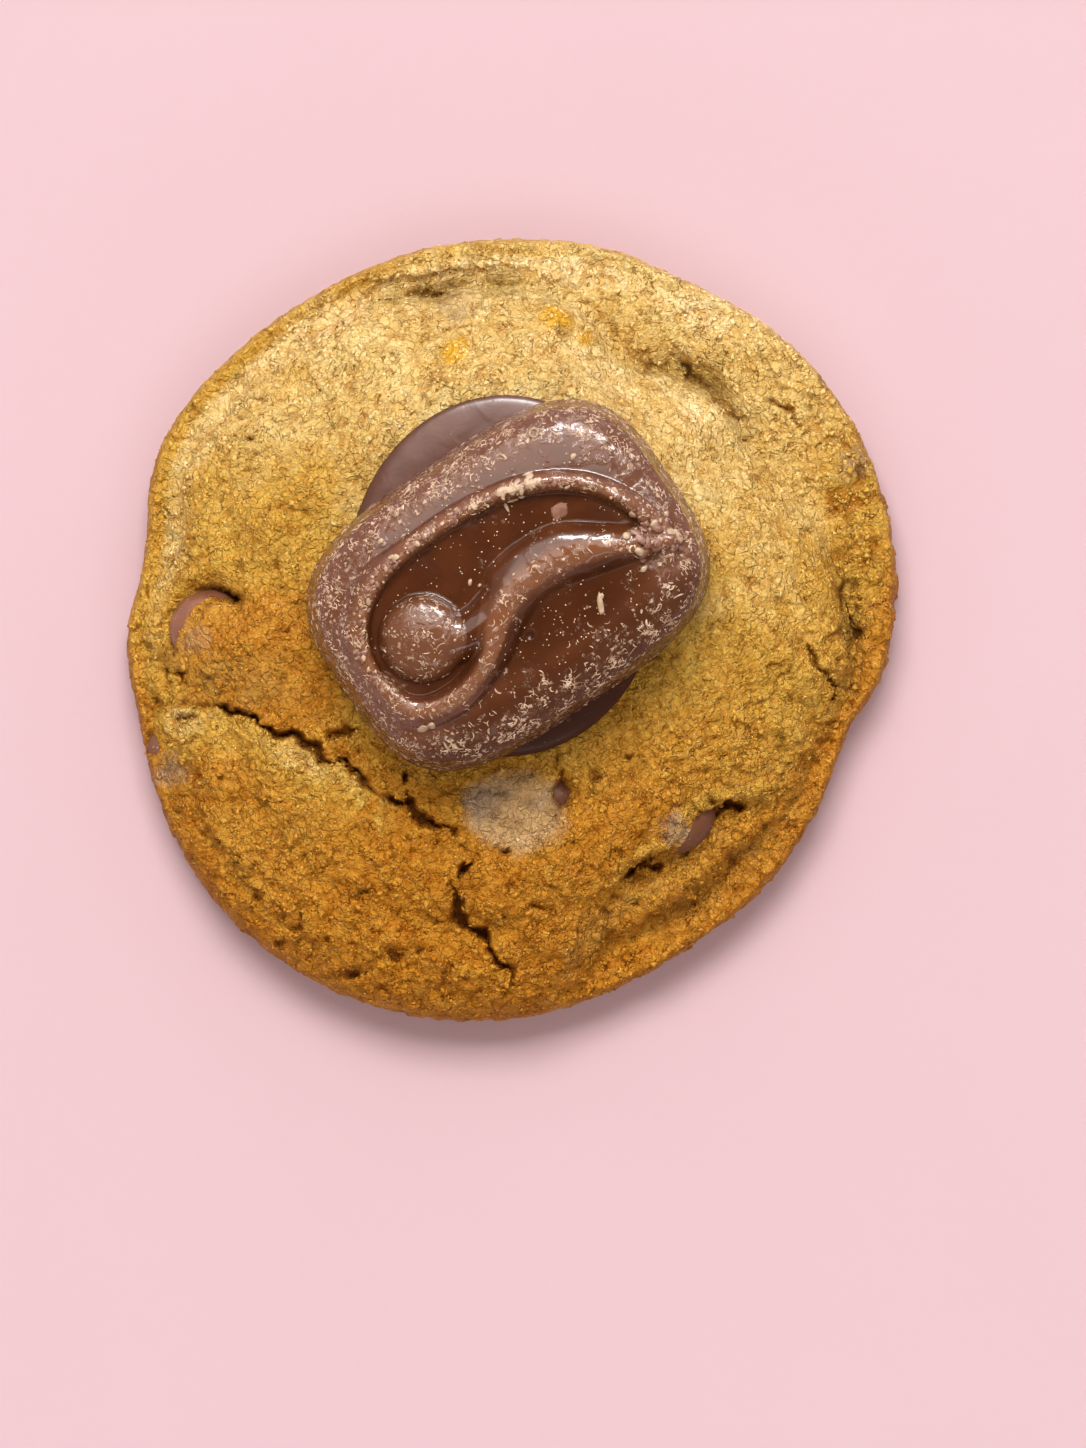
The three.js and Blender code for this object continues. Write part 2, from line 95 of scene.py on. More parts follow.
# The scroll's raised lines in the praline's own level frame: the upper ridge round to the ball's left,
# and the band that passes under the ball and runs to the right tip
UPPER_RIDGE = [
    (15.0, -4.6), (14.6, -2.2), (13.4, 0.8), (11.6, 3.4), (9.3, 5.3), (6.2, 6.9), (3, 7.7), (0, 8.1),
    (-4, 8.2), (-8.4, 7.9), (-11.8, 7.0), (-14.7, 5.0), (-16.3, 2.2), (-16.8, -0.8), (-16.2, -3.8),
]
BAND = [
    (-16.8, -1.6), (-16.2, -4.4), (-14.3, -6.2), (-11.3, -6.8), (-8.3, -6.3), (-5.6, -4.8), (-3.2, -2.7),
    (0, -1.2), (3.5, -0.9), (7, -1.6), (10, -2.8), (12.5, -4.1), (15.2, -5.6),
]
UPPER_RIDGE_HEIGHT = 1.5
BAND_HEIGHT = 1.9
BALL = {"x": -10.5, "y": 0.0, "radius": 4.35, "height": 2.4, "fullness": 0.48}
NECK = [(-9.2, -1.2), (-7, -2.2), (-4.5, -2.3), (-1.5, -1.6)]
NECK_REACH = 2.55
NECK_HEIGHT = 1.75
SCROLL_FLOOR = -0.7
HOLLOW = {"x": 2.0, "y": -6.0, "a": 12.5, "b": 3.6, "depth": 0.7}

# Folds: line, depth of the dip (negative is a rise), its reach left and right of the line
FOLDS = [
    ([(8.5, -27), (11, -25.6), (12.2, -24), (14, -23), (16.8, -22.3), (17.6, -20.4), (19.4, -18.4),
      (22.5, -17.2), (24.5, -17.2), (27, -17.8)], 2.9, 0.4, 3.2),
    ([(-26.4, 2.2), (-28.5, 3.4), (-30.4, 3.5), (-32.2, 2.2), (-33.3, 0), (-33.4, -2.4)], 2.7, 1.1, 1.5),
    ([(32.4, -10.6), (30.6, -12.8), (29.6, -15.2), (28.2, -17.6), (26.2, -19.8), (23.4, -21.2),
      (20, -23.8), (16, -26.8), (12, -29.8), (8.8, -32.2)], -1.0, 1.8, 1.1),
]
FOLD_FADE = 0.6

# Round swellings and pits: x, y, radius, height
SWELLINGS = [
    (-28.6, -2.2, 3.6, 1.1), (-6, 28, 1.6, 0.7), (4.3, 31.2, 1.7, 0.6), (0.8, -18.4, 4.6, 0.5),
    (-35.9, -11.5, 0.9, -0.9), (5.3, -16.6, 1.5, -2.7), (-6, 32.4, 2.6, -0.6), (-3.8, -30, 2.4, -1.0),
    (12.8, -24.6, 1.3, -1.3),
]

# Cracks: line, width at the surface, depth
CRACKS = [
    ([(-31.2, -7.9), (-30, -7.8), (-29, -7.7), (-27.5, -8.3), (-26, -9.2), (-25, -9.1), (-24.2, -10.2),
      (-22.8, -10.8), (-21, -10.7), (-20.3, -11.8), (-19.2, -12), (-18.5, -13), (-16.8, -13), (-15.5, -14),
      (-14.5, -15), (-14, -16), (-13, -16.8)], 1.0, 2.2),
    ([(-13.2, -16.7), (-11, -17), (-10, -17.5), (-9, -18.5), (-8, -19.3), (-6.5, -19.8), (-5.2, -20.5),
      (-4.5, -21.5), (-3.5, -22.7)], 1.1, 2.4),
    ([(-3.3, -22.5), (-4.5, -24), (-5.8, -25.3), (-5.5, -27), (-5, -28.5), (-4.8, -29.5), (-3.5, -30.2),
      (-2.3, -31.2), (-1.5, -32.5), (-0.3, -33.5), (0.4, -35.2)], 1.25, 2.2),
    ([(-10.6, -13.9), (-10.5, -15.2), (-10.4, -16), (-10.2, -17), (-9, -18)], 1.1, 2.2),
    ([(-18.6, -11.4), (-17, -10.6), (-15.2, -9.8)], 0.8, 1.5),
    ([(-3.3, -22.8), (-2, -22.4), (0.2, -22.3)], 0.6, 0.9),
    ([(4.5, -12), (4.6, -13.5), (5.2, -14.2), (5.1, -15), (5.8, -16.2), (5.6, -17.5), (5.2, -18.2),
      (4, -19.8), (2.7, -20.8)], 0.65, 1.2),
    ([(30, -1.5), (30.3, -3.5), (31.3, -4.8), (32.3, -6.5), (32.8, -8)], 0.8, 1.5),
    ([(33, 5), (33.2, 3.5), (33.8, 1.2), (34.5, -0.5), (35, -1.8)], 1.1, 1.3),
    ([(34.4, -5.6), (34.3, -7.2), (33.8, -9)], 0.8, 1.0),
    ([(33, 19), (34, 17.5), (35, 15.5), (35, 13)], 0.9, 0.7),
    ([(-33.9, -8.8), (-32.5, -9.0), (-31.0, -8.5)], 0.9, 1.2),
    ([(-35.2, -3.6), (-34, -4.3), (-32.2, -5.0)], 0.95, 1.2),
    ([(-36.8, -8.2), (-35.6, -7.8), (-34.8, -7.3)], 0.8, 1.0),
    ([(17.0, 26.3), (17.7, 25.6), (18.4, 25.3)], 0.9, 1.3),
    ([(20.2, 24.0), (20.5, 22.9), (20.1, 21.9)], 0.8, 1.2),
    ([(21.8, 21.8), (22.6, 21.1), (23.0, 20.4)], 0.9, 1.3),
    ([(23.5, 19.6), (23.9, 18.8), (24.4, 18.2)], 0.9, 1.2),
    ([(25.5, 23), (26.8, 22.7), (28, 21.5), (28.6, 20.5)], 0.8, 1.0),
    ([(16.6, 25.9), (18, 25.3), (20, 24.1), (21.5, 22.3), (23.3, 20.2)], 1.0, 1.0),
    ([(-14.5, 32.8), (-11, 33.1), (-7.5, 33.5), (-5.5, 34.3)], 1.1, 1.1),
    ([(-10.5, 30.5), (-6.5, 31), (-4, 32.4)], 0.5, 0.5),
    ([(-19.5, 24), (-18, 23.4), (-16.5, 23)], 0.45, 0.6),
    ([(-27, 23), (-26.4, 22.3)], 0.4, 0.5),
    ([(-23.5, 21.5), (-22.4, 21.2)], 0.4, 0.5),
    ([(-18.5, 20.5), (-17, 20), (-15.5, 19.7)], 0.45, 0.6),
    ([(-26.6, 19.3), (-25.4, 18.7)], 0.6, 0.8),
    ([(-24, 15), (-21.4, 15.2)], 0.35, 0.4),
    ([(2.0, -27.5), (3.4, -27.7), (4.6, -28)], 0.8, 1.0),
    ([(-1.2, -28), (-0.4, -29)], 0.6, 0.8),
    ([(9.0, -27.9), (10.1, -28.6)], 0.7, 1.0),
    ([(8.5, -13), (8.7, -15)], 0.35, 0.5),
    ([(19.6, -17.5), (21.5, -17.3), (23.6, -17.5)], 0.7, 1.2),
    ([(11.2, -25.2), (12.2, -24.1), (13.4, -23.4), (15.0, -23.6)], 1.5, 1.5),
    ([(20.9, -17.7), (22.2, -17.4), (23.6, -17.9)], 1.2, 1.6),
]

# Small holes: x, y, half sizes
HOLES = [
    (-15.7, -34.5, 1.0, 0.6), (-11.8, -32.6, 0.65, 0.5), (-9, -32.3, 0.55, 0.45), (-21, -29.8, 0.55, 0.45),
    (-23, -31.5, 0.6, 0.4), (-14.6, -26.3, 0.65, 0.4), (-22, -28.6, 0.45, 0.4), (14.3, -3, 0.5, 0.35),
    (-26, 18.9, 0.45, 0.35), (12, -12.6, 0.45, 0.35), (-27.5, 2.9, 0.4, 0.4), (-18.2, -31.0, 0.4, 0.3),
    (-6.9, -34.2, 0.4, 0.35), (-25.4, -27.2, 0.35, 0.3), (8.4, -14.8, 0.35, 0.5), (-12.5, -35.8, 0.4, 0.3),
]
STRAY_CRACKS = 320
STRAY_HOLES = 360

# Orange lumps near the top edge: x, y, half length, turn in radians, height
AMBER_LUMPS = [(-5.7, 27.9, 1.9, 0.5, 0.6), (4.3, 31.2, 2.1, -0.4, 0.7), (7.0, 29.3, 1.4, -0.8, 0.55)]

CRUST_FLAKES = 20000

# Chips: node, place of the middle, half sizes, turn about +Z and tilt towards +X in degrees, darkness of
# painted shade
CHIPS = [
    ("chip_upper_left", (-29.9, -0.1, 9.4), (4.2, 4.0, 3.3), 20, 8, 0.0),
    ("chip_lower_right", (17.0, -18.9, 10.4), (3.9, 3.3, 2.8), 50, 0, 1.0),
    ("chip_lower_middle", (2.4, -17.3, 12.7), (4.4, 3.4, 2.2), 8, -14, 0.8),
    ("chip_left_edge", (-34.6, -12.0, 5.6), (1.9, 2.5, 1.6), 10, 0, 0.6),
]

# Where a chip shows through the crust: node, outline of the opening
OPENINGS = [
    ("chip_upper_left", [
        (-33.5, -2.8), (-33.9, -1.0), (-33.4, 1.2), (-32.1, 3.1), (-30.3, 4.15), (-28.4, 4.0), (-26.9, 3.0),
        (-26.9, 2.6), (-27.9, 2.9), (-29.5, 3.3), (-31.1, 2.75), (-32.4, 1.3), (-33.2, -0.6), (-33.3, -2.4),
    ]),
    ("chip_lower_right", [
        (16.7, -22.2), (17.6, -21.5), (18.1, -20.6), (18.3, -19.6), (19.2, -18.8), (20.2, -18.1),
        (21.2, -17.6), (21.0, -18.4), (20.3, -19.2), (19.9, -20.1), (19.2, -21.0), (18.3, -21.8),
        (17.4, -22.5),
    ]),
    ("chip_lower_middle", [
        (4.5, -15.5), (5.2, -15.3), (5.8, -16.2), (5.6, -17.3), (4.9, -17.6), (4.4, -17.0), (4.3, -16.2),
    ]),
    ("chip_left_edge", [(-36.1, -10.5), (-35.4, -10.6), (-35.2, -11.8), (-35.6, -12.6), (-36.2, -12.0)]),
]
OPENING_DROP = 0.45
COVER = 0.10

# Browner and paler places of the crust: x, y, reach along x and y, and how much browner. The second is partly
# painted shade on the slope below the upper left chip.
BROWNER = [(-20, 16, 10, 10, 0.08), (-25, -3, 7, 7, 0.62), (21, -11, 7, 6, 0.12)]
PALE_PATCH = (0.6, -18.3, 5.2, 4.1)

# Greyish spots where chocolate lies close under the crust, and painted shade in the top fold and the upper
# right groove: x, y, radius, strength
GREY_SPOTS = [
    (-2.9, -17.4, 2.1, 0.95), (16.6, -20.0, 1.7, 0.8), (-34.0, -14.2, 1.8, 0.7), (-5.5, 32.2, 2.0, 0.4),
    (34.6, 16.5, 2.0, 0.5), (-31.4, -1.0, 1.6, 0.35), (3.2, -17.0, 1.1, 0.4), (-0.5, -16.2, 1.2, 0.5),
]

# Details of the praline in its own level frame: a small pit, a ring of crumbs (its middle and radius),
# and single crumbs (place, half sizes and turn)
PRALINE_PIT = (-1.5, -5.7)
CRUMB_RING = (10.0, 10.7, 0.42)
SINGLE_CRUMBS = [
    (-15.5, -7.4, 0.9, 0.5, 0.2), (-14.6, -7.6, 0.5, 0.4, 0.9), (6, -7, 1.2, 0.3, 1.1),
    (6.4, -6.4, 0.4, 0.3, 0.2), (-8.6, 10.3, 0.35, 0.25, 0), (-3.5, 2.0, 0.35, 0.2, 0.8),
    (-2.9, 1.2, 0.2, 0.15, 0), (11.9, 6.6, 0.4, 0.25, 0.4), (13.6, -1.4, 0.5, 0.35, 0.5),
]
SHAVINGS = 2500
SHAVING_RINGS = 6
DUST_GRAINS = 230

# Fineness of the meshes: cells along a side of the upper grid, and rings down a side
CRUST_GRID = 258
SIDE_RINGS = 9
PRALINE_GRID = 180
PRALINE_SIDE_RINGS = 14
DISC_GRID = 72
CHIP_GRID = 40
FAR_BELOW = -9.0
SEED = 7

# The photo's view and the studio. Places and sizes of the lights and the floor are in metres.
VIEW_CENTRE = (3.3, -9.55)
VIEW_HEIGHT = 144.8
CAMERA_HEIGHT = 2500.0
FOCUS_Z = 8.0
SENSOR = 36.0
FLOOR_HALF = 1.5
PINK = ((0.608, 0.422, 0.467), (0.625, 0.435, 0.481))

# Lights: name, place, size, power, colour, whether it is only seen mirrored
LIGHTS = [
    ("key", (-0.12, 0.95, 1.76), (1.0, 0.8), 40, (1.0, 0.985, 0.955), False),
    ("fill", (0.15, -1.2, 1.58), (2.2, 1.6), 14, (1.0, 0.93, 0.85), False),
    ("sky", (-0.14, 1.55, 1.55), (3.0, 2.4), 78, (1.0, 0.96, 0.93), True),
    ("strip", (0.45, 1.72, 0.90), (1.9, 0.25), 130, (1.0, 1.0, 1.0), True),
    ("rim", (0.3, -1.7, 1.0), (1.4, 0.3), 6, (0.9, 0.95, 1.0), True),
]
# Brightness of the surroundings along an axis: from, to, brightness at each
WORLD_FALL = [("Z", (0.86, 0.97, 0.55, 0.10)), ("Y", (-1.0, 1.0, 0.35, 1.5))]


# Small maths

def unit(value):
    return np.clip(value, 0.0, 1.0)


def ramp(value, low, high):
    t = unit((value - low) / (high - low))
    return t * t * (3 - 2 * t)


def bell(value, width):
    return np.exp(-((value / width) ** 2))


def oval(a, b, angle, z):
    """Points of an oval of half sizes a and b at the given angles."""
    return np.stack([a * np.cos(angle), b * np.sin(angle), np.broadcast_to(z, angle.shape)], axis=1)


def soft_max(a, b, reach):
    overlap = np.maximum(reach - np.abs(a - b), 0) / reach
    return np.maximum(a, b) + overlap * overlap * reach / 4


def soft_min(a, b, reach):
    return -soft_max(-a, -b, reach)


def around(rows, column, degrees):
    """Smooth value of one column of a table of rows around the full circle."""
    angle = np.array([row[0] for row in rows], float)
    value = np.array([row[column] for row in rows], float)
    angle = np.concatenate([angle - 360, angle, angle + 360, angle + 720])
    value = np.tile(value, 4)
    degrees = np.mod(degrees, 360)
    i = np.searchsorted(angle, degrees, side="right") - 1
    span = angle[i + 1] - angle[i]
    t = (degrees - angle[i]) / span
    slope1 = (value[i + 1] - value[i - 1]) / (angle[i + 1] - angle[i - 1]) * span
    slope2 = (value[i + 2] - value[i]) / (angle[i + 2] - angle[i]) * span
    return (
        value[i] * (2 * t**3 - 3 * t**2 + 1) + slope1 * (t**3 - 2 * t**2 + t)
        + value[i + 1] * (3 * t**2 - 2 * t**3) + slope2 * (t**3 - t**2)
    )


def smooth_line(points, step):
    """Points along a smooth line through the given ones."""
    p = np.array(points, float)
    p = np.vstack([2 * p[0] - p[1], p, 2 * p[-1] - p[-2]])
    line = []
    for i in range(1, len(p) - 2):
        count = max(2, int(round(np.linalg.norm(p[i + 1] - p[i]) / step)))
        t = (np.arange(count) / count)[:, None]
        a, b, c, d = p[i - 1], p[i], p[i + 1], p[i + 2]
        bend, twist = 2 * a - 5 * b + 4 * c - d, 3 * b - a - 3 * c + d
        line.append(0.5 * (2 * b + (c - a) * t + bend * t**2 + twist * t**3))
    return np.vstack(line + [p[-2:-1]])


def nearest(line, x, y):
    """Distance to a line of points, which side of it (left is +1) and how far along it, 0 to 1."""
    distance = np.full(x.shape, 1e9)
    side = np.ones(x.shape)
    along = np.zeros(x.shape)
    for i in range(len(line) - 1):
        (ax, ay), (bx, by) = line[i], line[i + 1]
        dx, dy = bx - ax, by - ay
        t = unit(((x - ax) * dx + (y - ay) * dy) / (dx * dx + dy * dy))
        ex, ey = x - ax - t * dx, y - ay - t * dy
        d = np.hypot(ex, ey)
        closer = d < distance
        distance = np.where(closer, d, distance)
        side = np.where(closer, np.where(dx * ey - dy * ex >= 0, 1.0, -1.0), side)
        along = np.where(closer, (i + t) / (len(line) - 1), along)
    return distance, side, along


def dice(ix, iy, iz, seed):
    """A repeatable random number from 0 to 1 for each place of a lattice."""
    with np.errstate(over="ignore"):
        h = ix.astype(np.uint32) * np.uint32(0x9E3779B1)
        h ^= iy.astype(np.uint32) * np.uint32(0x85EBCA77)
        h ^= iz.astype(np.uint32) * np.uint32(0xC2B2AE3D)
        h += np.uint32(seed * 7919 + 13)
        h ^= h >> np.uint32(15)
        h *= np.uint32(0x2C1B3C6D)
        h ^= h >> np.uint32(12)
        h *= np.uint32(0x297A2D39)
        h ^= h >> np.uint32(15)
    return h.astype(np.float64) / 4294967296.0


def noise(p, size, seed):
    """Gradient noise of about -1 to 1, with lumps of the given size."""
    q = p / size
    base = np.floor(q).astype(np.int64)
    f = q - base
    w = f * f * f * (f * (f * 6 - 15) + 10)
    total = np.zeros(len(p))
    for corner in range(8):
        c = np.array([corner & 1, (corner >> 1) & 1, corner >> 2])
        i = base + c
        weight = np.prod(np.where(c == 1, w, 1 - w), axis=1)
        slope = np.zeros(len(p))
        for axis in range(3):
            slope += (2 * dice(i[:, 0], i[:, 1], i[:, 2], seed + 31 * axis) - 1) * (f[:, axis] - c[axis])
        total += weight * slope
    return total * 1.6


def rough_noise(p, size, octaves, seed):
    total = np.zeros(len(p))
    for octave in range(octaves):
        total += noise(p, size / 2**octave, seed + octave) / 2**octave
    return total


def sway(p, size, amount, seed):
    """Points moved about by noise."""
    return p + amount * np.stack([noise(p, size, seed + 101 * axis) for axis in range(3)], axis=1)


def cells(p, size, seed):
    """Distances to the two nearest of scattered points, and a random number and a slope for the nearest."""
    q = p / size
    base = np.floor(q).astype(np.int64)
    first = np.full(len(p), 9.0)
    second = np.full(len(p), 9.0)
    pick = np.zeros(len(p))
    slope = np.zeros(len(p))
    for dx in (-1, 0, 1):
        for dy in (-1, 0, 1):
            for dz in (-1, 0, 1):
                i = base + np.array([dx, dy, dz])
                ox, oy, oz = (dice(i[:, 0], i[:, 1], i[:, 2], seed + k) for k in range(3))
                away = i + np.stack([ox, oy, oz], axis=1) - q
                d = np.sqrt((away * away).sum(1))
                closer = d < first
                second = np.where(closer, first, np.minimum(second, d))
                pick = np.where(closer, dice(i[:, 0], i[:, 1], i[:, 2], seed + 3), pick)
                tilt = away[:, 0] * (2 * oy - 1) + away[:, 1] * (2 * oz - 1)
                slope = np.where(closer, tilt, slope)
                first = np.where(closer, d, first)
    return first, second, pick, slope


def inside_loop(line, x, y):
    inside = np.zeros(x.shape, bool)
    for i in range(len(line)):
        (px, py), (qx, qy) = line[i], line[i - 1]
        if py != qy:
            inside ^= ((py > y) != (qy > y)) & (x < (qx - px) * (y - py) / (qy - py) + px)
    return inside


def depth_inside(points, x, y):
    """Distance to a closed outline, positive inside it; only worked out near it."""
    line = smooth_line(list(points) + [points[0]], 0.3)
    centre = line.mean(0)
    some = np.hypot(x - centre[0], y - centre[1]) < np.hypot(*(line - centre).T).max() + 3
    result = np.full(x.shape, -3.0)
    distance, _, _ = nearest(line, x[some], y[some])
    result[some] = np.where(inside_loop(line, x[some], y[some]), distance, -distance)
    return result


# Heights of the crust

def crust_height(x, y):
    """Height of the crust's upper face, as in the solid."""
    degrees = np.degrees(np.arctan2(y, x))
    inward = around(OUTLINE, 1, degrees) - np.hypot(x, y)
    foot = around(DOME_FOOT, 1, degrees)

    def quarter(width):
        return np.sqrt(1 - (1 - unit(inward / width)) ** 2)

    rim = EQUATOR_Z + RIM_RISE * quarter(RIM_WIDTH) + LOBE_RISE * unit((inward - RIM_WIDTH) / LOBE_RUN)
    shoulder = EQUATOR_Z + SHOULDER_RISE * quarter(SHOULDER_RUN) + np.maximum(inward - SHOULDER_RUN, 0)
    dome = FOOT_Z + DOME_RISE * (1 - (1 - unit((inward - foot) / DOME_RUN)) ** DOME_POWER)
    inward = np.maximum(inward, 0)
    dome = soft_min(dome, shoulder, np.minimum(SHOULDER_BLEND, inward + 0.1))
    z = soft_max(rim, dome, np.minimum(RIM_BLEND, inward + 0.1))

    from_foot = inward - foot
    groove = np.where(from_foot > 0, from_foot / GROOVE_INSIDE, from_foot / GROOVE_OUTSIDE)
    clear_of_edge = unit(inward / EDGE_FADE)
    z = z - GROOVE_DEEPER * around(DOME_FOOT, 2, degrees) * np.exp(-groove * groove) * clear_of_edge
    for points, depth, left, right in FOLDS:
        distance, side, along = nearest(smooth_line(points, 0.8), x, y)
        reach = np.where(side > 0, left, right)
        fade = np.sin(np.pi * along) ** FOLD_FADE
        z = z - depth * fade * np.exp(-((distance / reach) ** 2)) * clear_of_edge
    for cx, cy, radius, height in SWELLINGS:
        z = z + height * np.exp(-((x - cx) ** 2 + (y - cy) ** 2) / radius**2) * clear_of_edge
    broad, fine, swing = LUMP["broad"], LUMP["fine"], LUMP["sway"]
    sway_x, sway_y = 2 * np.sin(swing[0] * y), np.sin(swing[1] * x)
    lumps = np.sin(broad[0] * x + sway_x) * np.sin(broad[1] * y + sway_y)
    lumps = lumps + LUMP["fine_share"] * np.sin(fine[0] * x + sway_y + 2) * np.sin(fine[1] * y + sway_x)
    z = z + LUMP["height"] * lumps * clear_of_edge

    seat_a, seat_b = DISC["a"] + SEAT["margin"], DISC["b"] + SEAT["margin"]
    from_disc = np.hypot((x - DISC["x"]) / seat_a, (y - DISC["y"]) / seat_b)
    flat = ramp(-from_disc, -SEAT["to"], -SEAT["from"])
    return z + (DISC["z"] + SEAT["depth"] - z) * flat


def crack_depth(cracks, x, y, wide):
    """How deep the cracks cut at each place; wide makes them wider or narrower from place to place."""
    cut = np.zeros(x.shape)
    for points, width, depth in cracks:
        line = smooth_line(points, 0.5)
        centre = line.mean(0)
        some = np.hypot(x - centre[0], y - centre[1]) < np.hypot(*(line - centre).T).max() + 2 * width
        distance, _, along = nearest(line, x[some], y[some])
        fade = np.minimum(1, 5 * np.minimum(along, 1 - along) + 0.3)
        half = width * 0.5 * wide[some] * fade
        here = depth * fade * unit(1.25 * (1 - distance / half)) ** 0.7 * np.minimum(1, half / 0.28)
        cut[some] = np.maximum(cut[some], here)
    return cut


def stray_cracks(rng):
    """Short wandering cracks, more of them on the lower left and near the edge."""
    cracks = []
    while len(cracks) < STRAY_CRACKS:
        x, y = rng.uniform(-38, 38, 2)
        radius = math.hypot(x, y)
        crowd = 0.35 + 0.5 * (radius > 27) + 0.25 * (y < -8) + 0.2 * (x < -12)
        if radius > 37 or rng.random() > crowd:
            continue
        heading = rng.uniform(0, math.pi)
        points = [(x, y)]
        for _ in range(rng.integers(2, 5)):
            heading += rng.normal(0, 0.55)
            step = rng.uniform(0.35, 0.95)
            x, y = x + step * math.cos(heading), y + step * math.sin(heading)
            points.append((x, y))
        cracks.append((points, rng.uniform(0.24, 0.5), rng.uniform(0.2, 0.6)))
    return cracks


def stray_holes(rng):
    holes = []
    while len(holes) < STRAY_HOLES:
        x, y = rng.uniform(-39, 39, 2)
        radius = math.hypot(x, y)
        crowd = 0.3 + 0.7 * (radius > 29) * (y < -10) + 0.2 * (radius > 33)
        if radius > 39 or rng.random() > crowd:
            continue
        size = rng.uniform(0.18, 0.36) * (1 + 0.5 * (rng.random() > 0.85))
        holes.append((x, y, size, size * rng.uniform(0.6, 1.0)))
    return holes


def hole_depth(holes, x, y):
    cut = np.zeros(x.shape)
    for cx, cy, a, b in holes:
        some = (np.abs(x - cx) < 2 * a) & (np.abs(y - cy) < 2 * a)
        r = np.hypot((x[some] - cx) / a, (y[some] - cy) / b)
        cut[some] = np.maximum(cut[some], (0.35 + 1.1 * a) * np.exp(-r * r))
    return cut


def chip_top(name, x, y):
    """Height of a chip's upper face, and whether the place lies within its outline."""
    _, (cx, cy, cz), (a, b, c), turn, tilt, _ = next(chip for chip in CHIPS if chip[0] == name)
    s, t = math.radians(turn), math.radians(tilt)
    u = (x - cx) * math.cos(s) + (y - cy) * math.sin(s)
    v = (y - cy) * math.cos(s) - (x - cx) * math.sin(s)
    # upper root of the tilted ellipsoid along z
    k = math.cos(t) ** 2 / c**2 + math.sin(t) ** 2 / a**2
    m = u * math.sin(t) * math.cos(t) * (1 / c**2 - 1 / a**2)
    n = u * u * (math.cos(t) ** 2 / a**2 + math.sin(t) ** 2 / c**2) + v * v / b**2 - 1
    root = m * m - k * n
    return cz + (-m + np.sqrt(np.maximum(root, 0))) / k, root > 0


# Meshes

def square_to_disc(n):
    """Polar places, share of the radius and angle, of an n by n grid bent into a disc."""
    a, b = np.meshgrid(np.linspace(-1, 1, n + 1), np.linspace(-1, 1, n + 1))
    a, b = a.ravel(), b.ravel()
    wide = np.abs(a) > np.abs(b)
    with np.errstate(divide="ignore", invalid="ignore"):
        radius = np.where(wide, a, b)
        angle = np.where(wide, math.pi / 4 * b / a, math.pi / 2 - math.pi / 4 * a / b)
    angle = np.where(radius == 0, 0, angle) + np.where(radius < 0, math.pi, 0)
    return np.abs(radius), angle


def square_rim(n):
    """The grid's outer points in order, counter-clockwise from its lowest corner."""
    side = np.arange(n)
    width = n + 1
    return np.concatenate([side, side * width + n, n * width + n - side, (n - side) * width])


def closed_shell(n, top, sides, bottom):
    """Points and faces of a closed body: a fine grid above, rings down the side, a coarser grid below."""
    half = n // 2
    share, angle = square_to_disc(n)
    under_share, under_angle = square_to_disc(half)
    upper = top(share, angle)
    rim = square_rim(n)
    rings = [ring(angle[rim]) for ring in sides]
    lower = bottom(under_share, under_angle)
    points = [upper] + rings + [lower]
    starts = np.cumsum([0] + [len(part) for part in points])
    quads = []
    cell = (np.arange(n)[:, None] * (n + 1) + np.arange(n)).ravel()
    quads.append(np.stack([cell, cell + 1, cell + n + 2, cell + n + 1], axis=1))
    loop = rim
    count = 4 * n
    step = np.arange(count)
    for k in range(len(rings)):
        nxt = starts[k + 1] + step
        quads.append(np.stack([np.roll(loop, -1), loop, nxt, np.roll(nxt, -1)], axis=1))
        loop = nxt
    base = starts[-2]
    cell = (np.arange(half)[:, None] * (half + 1) + np.arange(half)).ravel() + base
    quads.append(np.stack([cell + half + 1, cell + half + 2, cell + 1, cell], axis=1))
    inner = square_rim(half) + base
    after = np.roll(inner, -1)
    even, odd, last = loop[0::2], loop[1::2], np.roll(loop, -2)[0::2]
    tris = np.concatenate([
        np.stack([odd, even, inner], axis=1),
        np.stack([last, odd, after], axis=1),
        np.stack([odd, inner, after], axis=1),
    ])
    return np.vstack(points), np.vstack(quads), tris


def new_mesh(name, points, quads, tris=()):
    mesh = bpy.data.meshes.new(name)
    faces = [tuple(q) for q in np.asarray(quads).tolist()] + [tuple(t) for t in np.asarray(tris).tolist()]
    mesh.from_pydata((points * MM).tolist(), [], faces)
    mesh.polygons.foreach_set("use_smooth", np.ones(len(mesh.polygons), bool))
    mesh.update()
    return mesh


def add_piece(mesh, slot, material, *nodes):
    """Puts the mesh in the scene as a piece, in the place of the frame's nodes if any are named."""
    mesh.materials.append(material)
    piece = bpy.data.objects.new(mesh.name, mesh)
    bpy.context.scene.collection.objects.link(piece)
    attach(piece, "root")
    if nodes:
        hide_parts(*nodes)


def mesh_points(mesh):
    flat = np.empty(len(mesh.vertices) * 3)
    mesh.vertices.foreach_get("co", flat)
    return flat.reshape(-1, 3) / MM


def mesh_normals(mesh):
    flat = np.empty(len(mesh.vertices) * 3)
    mesh.vertex_normals.foreach_get("vector", flat)
    return flat.reshape(-1, 3)


def set_points(mesh, points):
    mesh.vertices.foreach_set("co", (points * MM).ravel())
    mesh.update()


def paint(mesh, name, *channels):
    """Stores up to four masks at the mesh's points."""
    colour = np.zeros((len(mesh.vertices), 4))
    for k, channel in enumerate(channels):
        colour[:, k] = channel
    attribute = mesh.color_attributes.new(name, "FLOAT_COLOR", "POINT")
    attribute.data.foreach_set("color", colour.ravel())


# Materials

